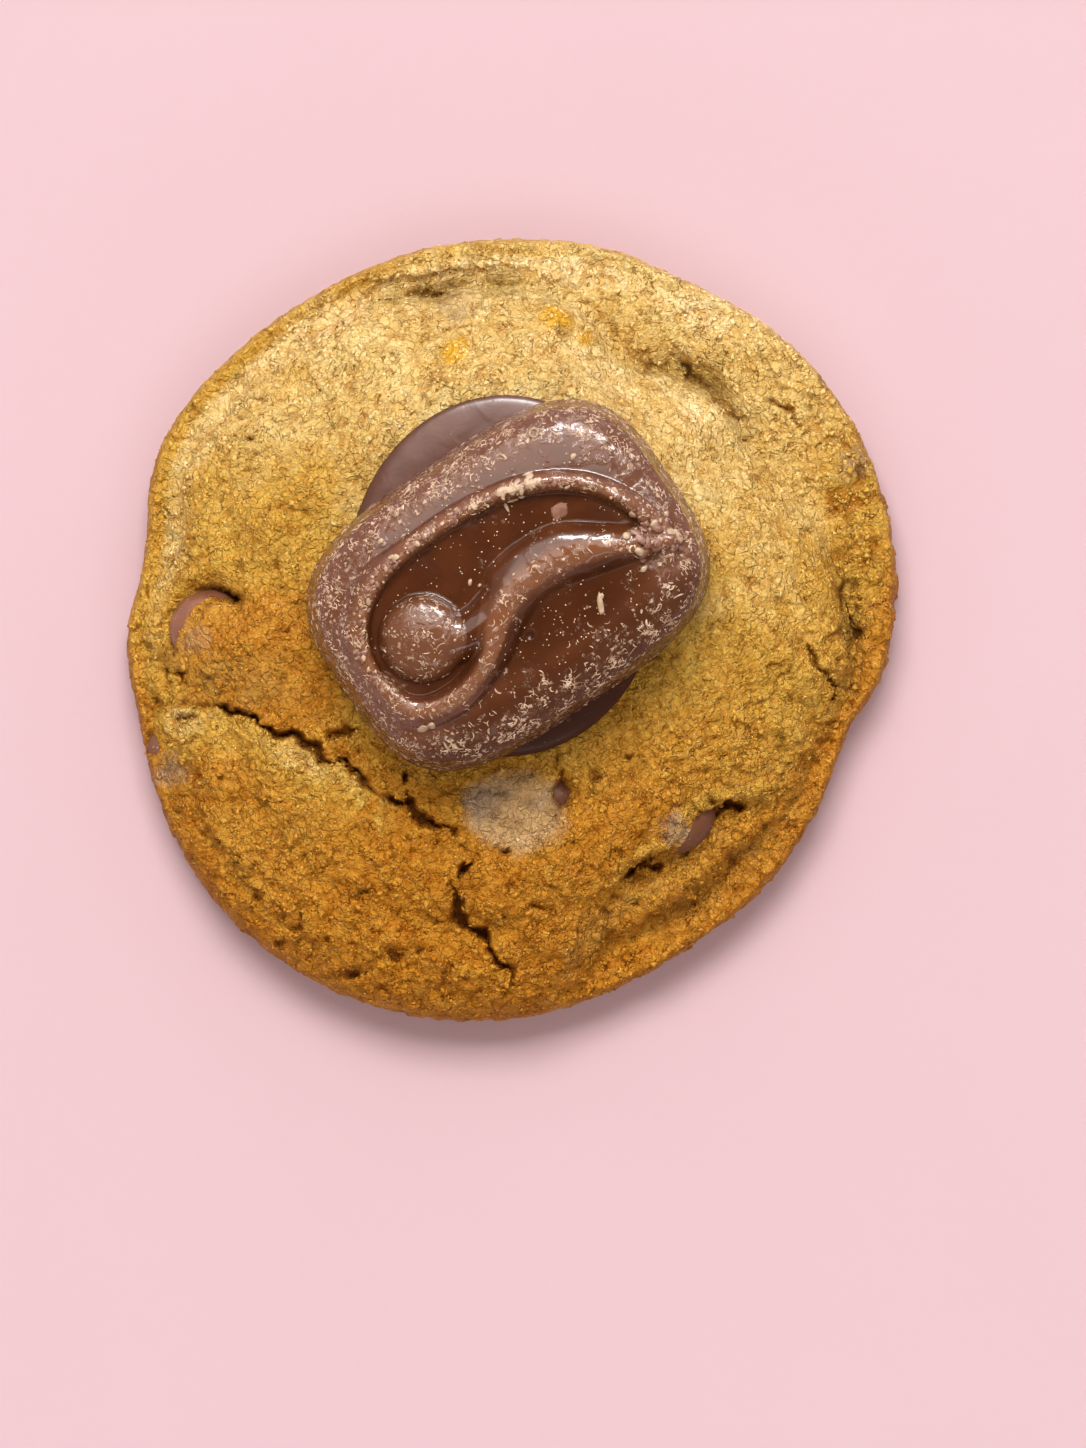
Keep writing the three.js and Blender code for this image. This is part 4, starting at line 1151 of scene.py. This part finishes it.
def scroll(u, v):
    """Height of the scroll above the praline's plain top, in the praline's own level frame, and its masks."""
    upper = smooth_line(UPPER_RIDGE, 0.4)
    band = smooth_line(BAND, 0.4)
    inside = inside_loop(np.vstack([upper, band[4:]]), u, v)
    d_upper, _, t_upper = nearest(upper, u, v)
    d_band, _, _ = nearest(band, u, v)
    hollow_u, hollow_v = (u - HOLLOW["x"]) / HOLLOW["a"], (v - HOLLOW["y"]) / HOLLOW["b"]
    hollow = HOLLOW["depth"] * np.exp(-(hollow_u**4) - hollow_v**2)
    floor = SCROLL_FLOOR * ramp(np.minimum(d_upper, d_band), 0, 1.0)
    ground = np.where(inside, floor, -hollow)
    from_ball = np.hypot(u - BALL["x"], v - BALL["y"]) / BALL["radius"]

    reach_in = 1.0 + 0.25 * ramp(-u, 8, 14)
    reach_out = 1.25 + 0.85 * ramp(-u, 6, 15)
    across = unit(d_upper / np.where(inside, reach_in, reach_out))
    taper = unit(t_upper * 7 + 0.3)
    ridge = ground + (UPPER_RIDGE_HEIGHT * taper - ground) * (1 - across**2) ** np.where(inside, 0.7, 0.68)

    wide = 1.55 + 1.0 * ramp(u, -7.5, -1) - 1.3 * ramp(u, 6, 15)
    inner = 1.02 + 0.38 * ramp(u, -5, -1) * (1 - 0.5 * ramp(u, 5, 12))
    across = unit(d_band / np.where(inside, wide * inner, wide * 1.1))
    taper = 1 - 0.2 * ramp(-u, 5, 10) - 0.6 * ramp(u, 9, 15)
    roundness = np.where(inside, 0.65, 0.66 + 0.4 * ramp(u, -6, 2))
    belly = ground + (BAND_HEIGHT * taper - ground) * (1 - across**2) ** roundness
    z = soft_max(ground, ridge, 0.15)
    z = soft_max(z, belly, 0.55)

    neck, _, _ = nearest(smooth_line(NECK, 0.5), u, v)
    bridge = SCROLL_FLOOR + (NECK_HEIGHT - SCROLL_FLOOR) * (1 - unit(neck / NECK_REACH) ** 2) ** 0.75
    cap = SCROLL_FLOOR + (BALL["height"] - SCROLL_FLOOR) * unit(1 - from_ball**2) ** BALL["fullness"]
    z = soft_max(z, np.where(neck < NECK_REACH, bridge, FAR_BELOW), 0.5)
    z = soft_max(z, np.where(from_ball < 1, cap, FAR_BELOW), 0.9)
    crest = np.maximum(ramp(-d_upper, -1.3, -0.4), ramp(-d_band / wide, -0.75, -0.2))
    clean = inside * (d_upper > 0.9) * (d_band > wide * inner) * (from_ball > 1)
    return z, crest, clean, from_ball


def praline_reach(angle):
    a, b, power = PRALINE["a"], PRALINE["b"], PRALINE["power"]
    return ((np.abs(np.cos(angle)) / a) ** power + (np.abs(np.sin(angle)) / b) ** power) ** (-1 / power)


def praline_edge(u, v):
    """Share of the way from the praline's middle to its outline."""
    angle = np.arctan2(v - PRALINE["v"], u - PRALINE["u"])
    return np.hypot(u - PRALINE["u"], v - PRALINE["v"]) / praline_reach(angle) / (1 - PRALINE["draft"])


def praline_height(u, v):
    edge = np.minimum(praline_edge(u, v), 1)
    plain = PRALINE["side_z"] + PRALINE["rise"] * np.sqrt(1 - edge ** PRALINE["crown"])
    return plain + scroll(u, v)[0] * ramp(-edge, -0.97, -0.88)


def praline_to_world(q):
    turn = math.radians(PRALINE["turn"])
    x = PRALINE["x"] + q[..., 0] * math.cos(turn) - q[..., 1] * math.sin(turn)
    y = PRALINE["y"] + q[..., 0] * math.sin(turn) + q[..., 1] * math.cos(turn)
    return np.stack([x, y, q[..., 2] + PRALINE_Z], axis=-1)


def praline_shell():
    b, draft, foot, high = (PRALINE[key] for key in ("b", "draft", "foot", "side_z"))
    middle = np.array([PRALINE["u"], PRALINE["v"], 0])

    def place(share, angle, z):
        radius = share * praline_reach(angle)
        return middle + oval(radius, radius, angle, z)

    def top(share, angle):
        p = place((1 - draft) * (1 - (1 - share) ** 1.15), angle, 0.0)
        p[:, 2] = praline_height(p[:, 0], p[:, 1])
        return p

    def side(share, z):
        return lambda angle: place(share, angle, z)

    sides = []
    for k in range(1, PRALINE_SIDE_RINGS + 1):
        t = k / PRALINE_SIDE_RINGS
        sides.append(side(1 - draft * (1 - t), high + (foot - high) * t))
    for degrees in (30, 60, 90):
        turn = math.radians(degrees)
        sides.append(side(1 - foot / b * (1 - math.cos(turn)), foot - (foot + GAP) * math.sin(turn)))

    def bottom(share, angle):
        return place((1 - foot / b) * share * 0.97, angle, -GAP)

    return new_mesh("praline_moulded", *closed_shell(PRALINE_GRID, top, sides, bottom))


def make_praline():
    mesh = praline_shell()
    p = mesh_points(mesh)
    normal = mesh_normals(mesh)
    u, v, z = p.T
    _, crest, clean, from_ball = scroll(u, v)
    on_ball = from_ball < 1
    tip = ramp(-np.hypot((u - 14.2) / 3.4, (v + 5.0) / 3.4), -1.25, -0.4)
    border = ramp(praline_edge(u, v), 0.72, 0.9)
    scuffed = 0.15 + 0.6 * border + 0.5 * crest + 0.18 * ramp(-v, 5.5, 9.5) + 0.8 * tip + 0.42 * on_ball
    scuffed += 0.25 * ramp(-u, 12, 18) + 0.12 * ramp(u, 9, 14) + 0.15 * ramp(v, 6, 11)
    scuffed = unit(scuffed * (1 - 0.85 * clean)) * (0.75 + 0.4 * ramp(noise(p, 3.0, 90), -0.4, 0.5))
    scuffed = unit(scuffed * (ramp(normal[:, 2], -0.2, 0.2) * 0.5 + 0.5))
    relief = 0.05 * rough_noise(p, 4.0, 2, 81) + 0.06 * scuffed * rough_noise(p, 0.8, 2, 82)
    relief += 0.16 * crest * rough_noise(p, 1.3, 3, 80) + 0.5 * tip * rough_noise(p, 1.7, 3, 83)
    relief *= ramp(z, 0.2, 1.0)
    pit = np.hypot(u - PRALINE_PIT[0], v - PRALINE_PIT[1])
    relief += 0.14 * bell(pit - 0.5, 0.16) - 0.25 * bell(pit, 0.32)
    set_points(mesh, praline_to_world(p + normal * relief[:, None]))

    # Painted shade: darker in the hollow below the band, on the clean scroll floor and along the lower side.
    in_hollow = ramp(-np.hypot((u - 2) / 13, (v + 6) / 3.6), -1.1, -0.5) * (crest < 0.5)
    shaded = np.maximum(unit(0.55 * clean + 0.9 * in_hollow), 0.8 * ramp(-v, 7.5, 10.5))
    dusty = unit(0.35 + 0.6 * clean + 0.4 * on_ball)
    paint(mesh, "wear_and_shade", scuffed, shaded, dusty, np.maximum(crest, 0.4 * ramp(-from_ball, -1.0, -0.8)))
    add_piece(mesh, "milk_chocolate", chocolate_material("milk_chocolate", *MILK, 0.14, 0.4), "praline")
    return mesh, scuffed


def level_frame(n, rng):
    """Two directions square to each of n, turned at random."""
    t = np.cross(n, rng.normal(size=n.shape))
    t /= np.linalg.norm(t, axis=1)[:, None]
    return t, np.cross(n, t)


def surface_frames(mesh, weight, count, rng):
    """Random places on the mesh with two directions along it and one out of it."""
    p = mesh_points(mesh)
    chosen = rng.choice(len(p), size=count, p=weight / weight.sum())
    n = mesh_normals(mesh)[chosen]
    t, b = level_frame(n, rng)
    jitter = rng.uniform(-0.12, 0.12, (count, 2))
    return p[chosen] + t * jitter[:, :1] + b * jitter[:, 1:], t, b, n


def make_shavings(praline, scuffed):
    """Short curled scrapings lying on the scuffed parts of the praline."""
    rng = np.random.default_rng(SEED + 1)
    count, rings = SHAVINGS, SHAVING_RINGS
    clump = ramp(noise(mesh_points(praline), 1.6, 85), -0.2, 0.45) + 0.08
    weight = np.maximum(scuffed - 0.2, 0) ** 1.5 * (mesh_normals(praline)[:, 2] > 0.12) * clump
    centre, t, b, n = surface_frames(praline, weight, count, rng)
    length = 0.22 + 0.26 * rng.gamma(2.0, 0.65, count)
    half = rng.uniform(0.03, 0.07, count) * (1 + 1.2 * (rng.random(count) > 0.9))
    lift = rng.uniform(0.03, 0.06, count)
    bend = rng.normal(0, 1.3, count)
    curled = np.abs(bend) > 1e-3
    divisor = np.where(curled, bend, 1)
    points = np.zeros((count, rings, 4, 3))
    for k in range(rings):
        s = 2 * k / (rings - 1) - 1
        turn = bend * s
        along = np.where(curled, np.sin(turn) / divisor, s)
        across = np.where(curled, (1 - np.cos(turn)) / divisor, 0)
        middle = centre + (0.5 * length * along)[:, None] * t + (0.5 * length * across)[:, None] * b
        out = np.cos(turn)[:, None] * b - np.sin(turn)[:, None] * t
        taper = math.sqrt(max(1 - s * s, 0.03))
        w, h = (half * taper)[:, None], (lift * taper)[:, None]
        left, right = middle - out * w, middle + out * w
        points[:, k] = np.stack([left, middle + n * h, right, middle - n * 0.05], axis=1)
    quads = []
    for k in range(rings - 1):
        for j in range(4):
            a, c = 4 * k + j, 4 * k + (j + 1) % 4
            quads.append((a, c, c + 4, a + 4))
    quads += [(3, 2, 1, 0), tuple(4 * (rings - 1) + j for j in range(4))]
    faces = (np.array(quads)[None] + (np.arange(count) * 4 * rings)[:, None, None]).reshape(-1, 4)
    mesh = new_mesh("praline_shavings", points.reshape(-1, 3), faces)
    add_piece(mesh, "milk_chocolate", crumb_material("shaving", (0.74, 0.54, 0.37), (0.36, 0.20, 0.12)))


def ball_shape(rings):
    """A round closed lump to be scaled and roughened."""
    spokes = 2 * rings
    points = [(0, 0, 1)]
    for i in range(1, rings):
        lean = math.pi * i / rings
        for j in range(spokes):
            turn = 2 * math.pi * j / spokes
            points.append((math.sin(lean) * math.cos(turn), math.sin(lean) * math.sin(turn), math.cos(lean)))
    points.append((0, 0, -1))
    faces = []
    for j in range(spokes):
        k = (j + 1) % spokes
        faces.append((0, 1 + j, 1 + k))
        for i in range(rings - 2):
            a = 1 + i * spokes
            faces += [(a + j, a + spokes + j, a + spokes + k), (a + j, a + spokes + k, a + k)]
        a = 1 + (rings - 2) * spokes
        faces.append((a + j, len(points) - 1, a + k))
    return np.array(points, float), np.array(faces)


def joined_lumps(name, places, seed, rings, roughness, material):
    """One piece made of many small rough lumps: each a place, half sizes, a turn and a frame."""
    base, base_faces = ball_shape(rings)
    points, faces = [], []
    for k, (centre, half, turn, t, b, n) in enumerate(places):
        q = base * np.array(half)
        q = q * (1 + roughness * noise(base * 1.3 + 7.7 * k, 1.0, seed))[:, None]
        c, s = math.cos(turn), math.sin(turn)
        q = np.stack([q[:, 0] * c - q[:, 1] * s, q[:, 0] * s + q[:, 1] * c, q[:, 2]], axis=1)
        points.append(centre + q[:, :1] * t + q[:, 1:2] * b + q[:, 2:] * n)
        faces.append(base_faces + k * len(base))
    mesh = new_mesh(name, np.vstack(points), np.zeros((0, 4), int), np.vstack(faces))
    add_piece(mesh, "milk_chocolate", material)


def on_praline(u, v):
    """World place and frame of a point of the praline's top."""
    step = 0.15
    uu, vv = np.array([u, u + step, u]), np.array([v, v, v + step])
    q = praline_to_world(np.stack([uu, vv, praline_height(uu, vv)], axis=1))
    t = (q[1] - q[0]) / np.linalg.norm(q[1] - q[0])
    n = np.cross(t, q[2] - q[0])
    n /= np.linalg.norm(n)
    return q[0], t, np.cross(n, t), n


def make_crumbs(praline, scuffed):
    """Loose chocolate crumbs on the praline, from the heap by its upper edge to the fine dust."""
    rng = np.random.default_rng(SEED + 2)
    pale, brown = [], []

    def drop(heap, u, v, half, turn=None):
        centre, t, b, n = on_praline(u, v)
        turn = rng.uniform(0, 6.3) if turn is None else turn
        heap.append((centre + n * half[2] * 0.35, half, turn, t, b, n))

    for _ in range(24):
        u, v = rng.uniform(3.4, 7.6), rng.uniform(6.1, 7.9)
        drop(pale, u, v, (rng.uniform(0.25, 0.75), rng.uniform(0.15, 0.4), 0.15))
    for k in range(34):
        size = rng.uniform(0.25, 0.7)
        u, v = rng.uniform(11.2, 16.6), rng.uniform(-7.2, -2.6)
        drop(brown if k % 3 else pale, u, v, (size, size * 0.7, 0.22))
    ridge = smooth_line(UPPER_RIDGE, 0.2)
    for k in range(110):
        u, v = ridge[rng.integers(2, len(ridge) - 2)] + rng.normal(0, 0.35, 2)
        size = rng.uniform(0.14, 0.42)
        drop(brown if k % 3 else pale, u, v, (size, size * rng.uniform(0.5, 0.9), 0.13))
    for u, v, a, b, turn in SINGLE_CRUMBS:
        drop(pale, u, v, (a, b, 0.16), turn)
    ring_u, ring_v, ring_radius = CRUMB_RING
    for k in range(14):
        turn = 2 * math.pi * k / 14
        u, v = ring_u + ring_radius * math.cos(turn), ring_v + ring_radius * math.sin(turn)
        drop(pale, u, v, (0.15, 0.12, 0.2), turn)
    drop(brown, 7.8, 2.9, (0.95, 0.8, 0.05), 0.4)
    for name, heap, seed, *tints in (
        ("pale", pale, 300, (0.56, 0.39, 0.25), (0.40, 0.25, 0.15)),
        ("brown", brown, 310, (0.26, 0.12, 0.075), (0.17, 0.065, 0.035)),
    ):
        joined_lumps("praline_crumbs_" + name, heap, seed, 7, 0.35, crumb_material(name + "_crumb", *tints))

    weight = (0.15 + (scuffed < 0.3)) * (mesh_normals(praline)[:, 2] > 0.5)
    grains = []
    for centre, t, b, n in zip(*surface_frames(praline, weight, DUST_GRAINS, rng)):
        size = rng.uniform(0.05, 0.11)
        grains.append((centre, (size, size * 0.8, size * 0.8), 0.0, t, b, n))
    dust = crumb_material("dust", (0.85, 0.66, 0.42), (0.66, 0.45, 0.27))
    joined_lumps("praline_dust", grains, 320, 3, 0.2, dust)


# Chocolate disc

def make_disc():
    a, b, edge, thick = DISC["a"], DISC["b"], DISC["edge"], DISC["thickness"]

    def top(share, angle):
        scale = 1 - (1 - share) ** 1.3
        return oval(a * scale, b * scale, angle, edge + (thick - edge) * np.sqrt(1 - scale**6))

    def side(turn):
        def ring(angle):
            scale = (a - edge * (1 - math.cos(turn))) / a
            return oval(a * scale, b * scale, angle, edge * (1 - math.sin(turn)))
        return ring

    def bottom(share, angle):
        scale = share * (a - edge) / a * 0.98
        return oval(a * scale, b * scale, angle, 0.0)

    sides = [side(math.radians(degrees)) for degrees in (0, 22, 45, 68, 90)]
    mesh = new_mesh("disc_rounded", *closed_shell(DISC_GRID, top, sides, bottom))
    p = mesh_points(mesh)
    relief = 0.08 * noise(p, 7.0, 95) + 0.03 * noise(p, 2.0, 96)
    p = p + mesh_normals(mesh) * (relief * ramp(p[:, 2], 0.2, 1.4))[:, None]
    set_points(mesh, p + np.array([DISC["x"], DISC["y"], DISC["z"]]))
    # Painted shadow: the disc's lower half, under the praline, darker.
    paint(mesh, "wear_and_shade", 0.0, ramp(-p[:, 1], 0, 4), 0.15, 0.0)
    material = chocolate_material("smooth_chocolate", *DARK, 0.34, 0.40)
    add_piece(mesh, "smooth_chocolate", material, "chocolate_disc")


# Chips

def make_chip(chip, seed, material):
    """A tilted and turned ellipsoid, slightly uneven."""
    name, middle, half, turn, tilt, shaded = chip

    def cap(up, most):
        def points(share, angle):
            lean = share * math.pi / 2 * most
            return oval(np.sin(lean), np.sin(lean), angle, up * np.cos(lean))
        return points

    mesh = new_mesh(name + "_piece", *closed_shell(CHIP_GRID, cap(1, 1.0), [], cap(-1, 0.96)))
    x, y, z = (mesh_points(mesh) * np.array(half)).T
    t, s = math.radians(tilt), math.radians(turn)
    x, z = x * math.cos(t) + z * math.sin(t), z * math.cos(t) - x * math.sin(t)
    x, y = x * math.cos(s) - y * math.sin(s), x * math.sin(s) + y * math.cos(s)
    away = np.stack([x, y, z], axis=1)
    p = away + np.array(middle)
    away /= np.linalg.norm(away, axis=1)[:, None]
    set_points(mesh, p + away * (0.10 * noise(p, 2.4, seed) + 0.04 * noise(p, 0.9, seed + 1))[:, None])
    # Painted shade: the chip darker by its shade value.
    paint(mesh, "wear_and_shade", 0.25, shaded, 0.4, 0.0)
    add_piece(mesh, "chip_chocolate", material, name)


def make_chips():
    material = chocolate_material("chip_chocolate", *CHIP_BROWN, 0.3)
    for k, chip in enumerate(CHIPS):
        make_chip(chip, 200 + 10 * k, material)


# Floor, light and camera

def make_floor():
    mesh = bpy.data.meshes.new("floor")
    s = FLOOR_HALF
    mesh.from_pydata([(-s, -s, 0), (s, -s, 0), (s, s, 0), (-s, s, 0)], [], [(0, 1, 2, 3)])
    floor = bpy.data.objects.new("floor", mesh)
    bpy.context.scene.collection.objects.link(floor)
    n = Finish("floor")
    pink = n.mix(n.noise(30, 2), *PINK)
    n.fill(n.shader, {"Base Color": pink, "Roughness": 0.8, "Specular IOR Level": 0.1})
    mesh.materials.append(n.material)


def add_light(name, place, size, power, colour, mirrored):
    """An area light aimed at the origin, seen either only mirrored in the surfaces or only as soft light."""
    data = bpy.data.lights.new(name, "AREA")
    data.shape = "RECTANGLE"
    data.size, data.size_y = size
    data.energy = power
    data.color = colour
    lamp = bpy.data.objects.new(name, data)
    lamp.location = place
    lamp.rotation_euler = (-lamp.location).to_track_quat("-Z", "Y").to_euler()
    lamp.visible_glossy = mirrored
    lamp.visible_diffuse = not mirrored
    bpy.context.scene.collection.objects.link(lamp)


def make_world():
    """A warm studio around: dimmer right overhead, brighter towards +Y."""
    world = bpy.data.worlds.new("studio")
    world.use_nodes = True
    tree = world.node_tree
    direction = tree.nodes.new("ShaderNodeTexCoord")
    split = tree.nodes.new("ShaderNodeSeparateXYZ")
    tree.links.new(direction.outputs["Generated"], split.inputs[0])
    strength = tree.nodes.new("ShaderNodeMath")
    strength.operation = "MULTIPLY"
    for k, (axis, limits) in enumerate(WORLD_FALL):
        fall = tree.nodes.new("ShaderNodeMapRange")
        tree.links.new(split.outputs[axis], fall.inputs["Value"])
        for key, number in zip(("From Min", "From Max", "To Min", "To Max"), limits):
            fall.inputs[key].default_value = number
        tree.links.new(fall.outputs[0], strength.inputs[k])
    background = tree.nodes["Background"]
    background.inputs["Color"].default_value = (1.0, 0.95, 0.90, 1.0)
    tree.links.new(strength.outputs[0], background.inputs["Strength"])
    bpy.context.scene.world = world


def make_camera():
    data = bpy.data.cameras.new("camera")
    data.sensor_width = SENSOR
    data.lens = SENSOR * (CAMERA_HEIGHT - FOCUS_Z) / VIEW_HEIGHT
    camera = bpy.data.objects.new("camera", data)
    camera.location = (VIEW_CENTRE[0] * MM, VIEW_CENTRE[1] * MM, CAMERA_HEIGHT * MM)
    bpy.context.scene.collection.objects.link(camera)
    bpy.context.scene.camera = camera


make_camera()
make_floor()
for light in LIGHTS:
    add_light(*light)
make_world()
bpy.context.scene.view_settings.view_transform = "Standard"
make_flakes(*make_crust())
praline_mesh, praline_scuffed = make_praline()
make_shavings(praline_mesh, praline_scuffed)
make_crumbs(praline_mesh, praline_scuffed)
make_disc()
make_chips()
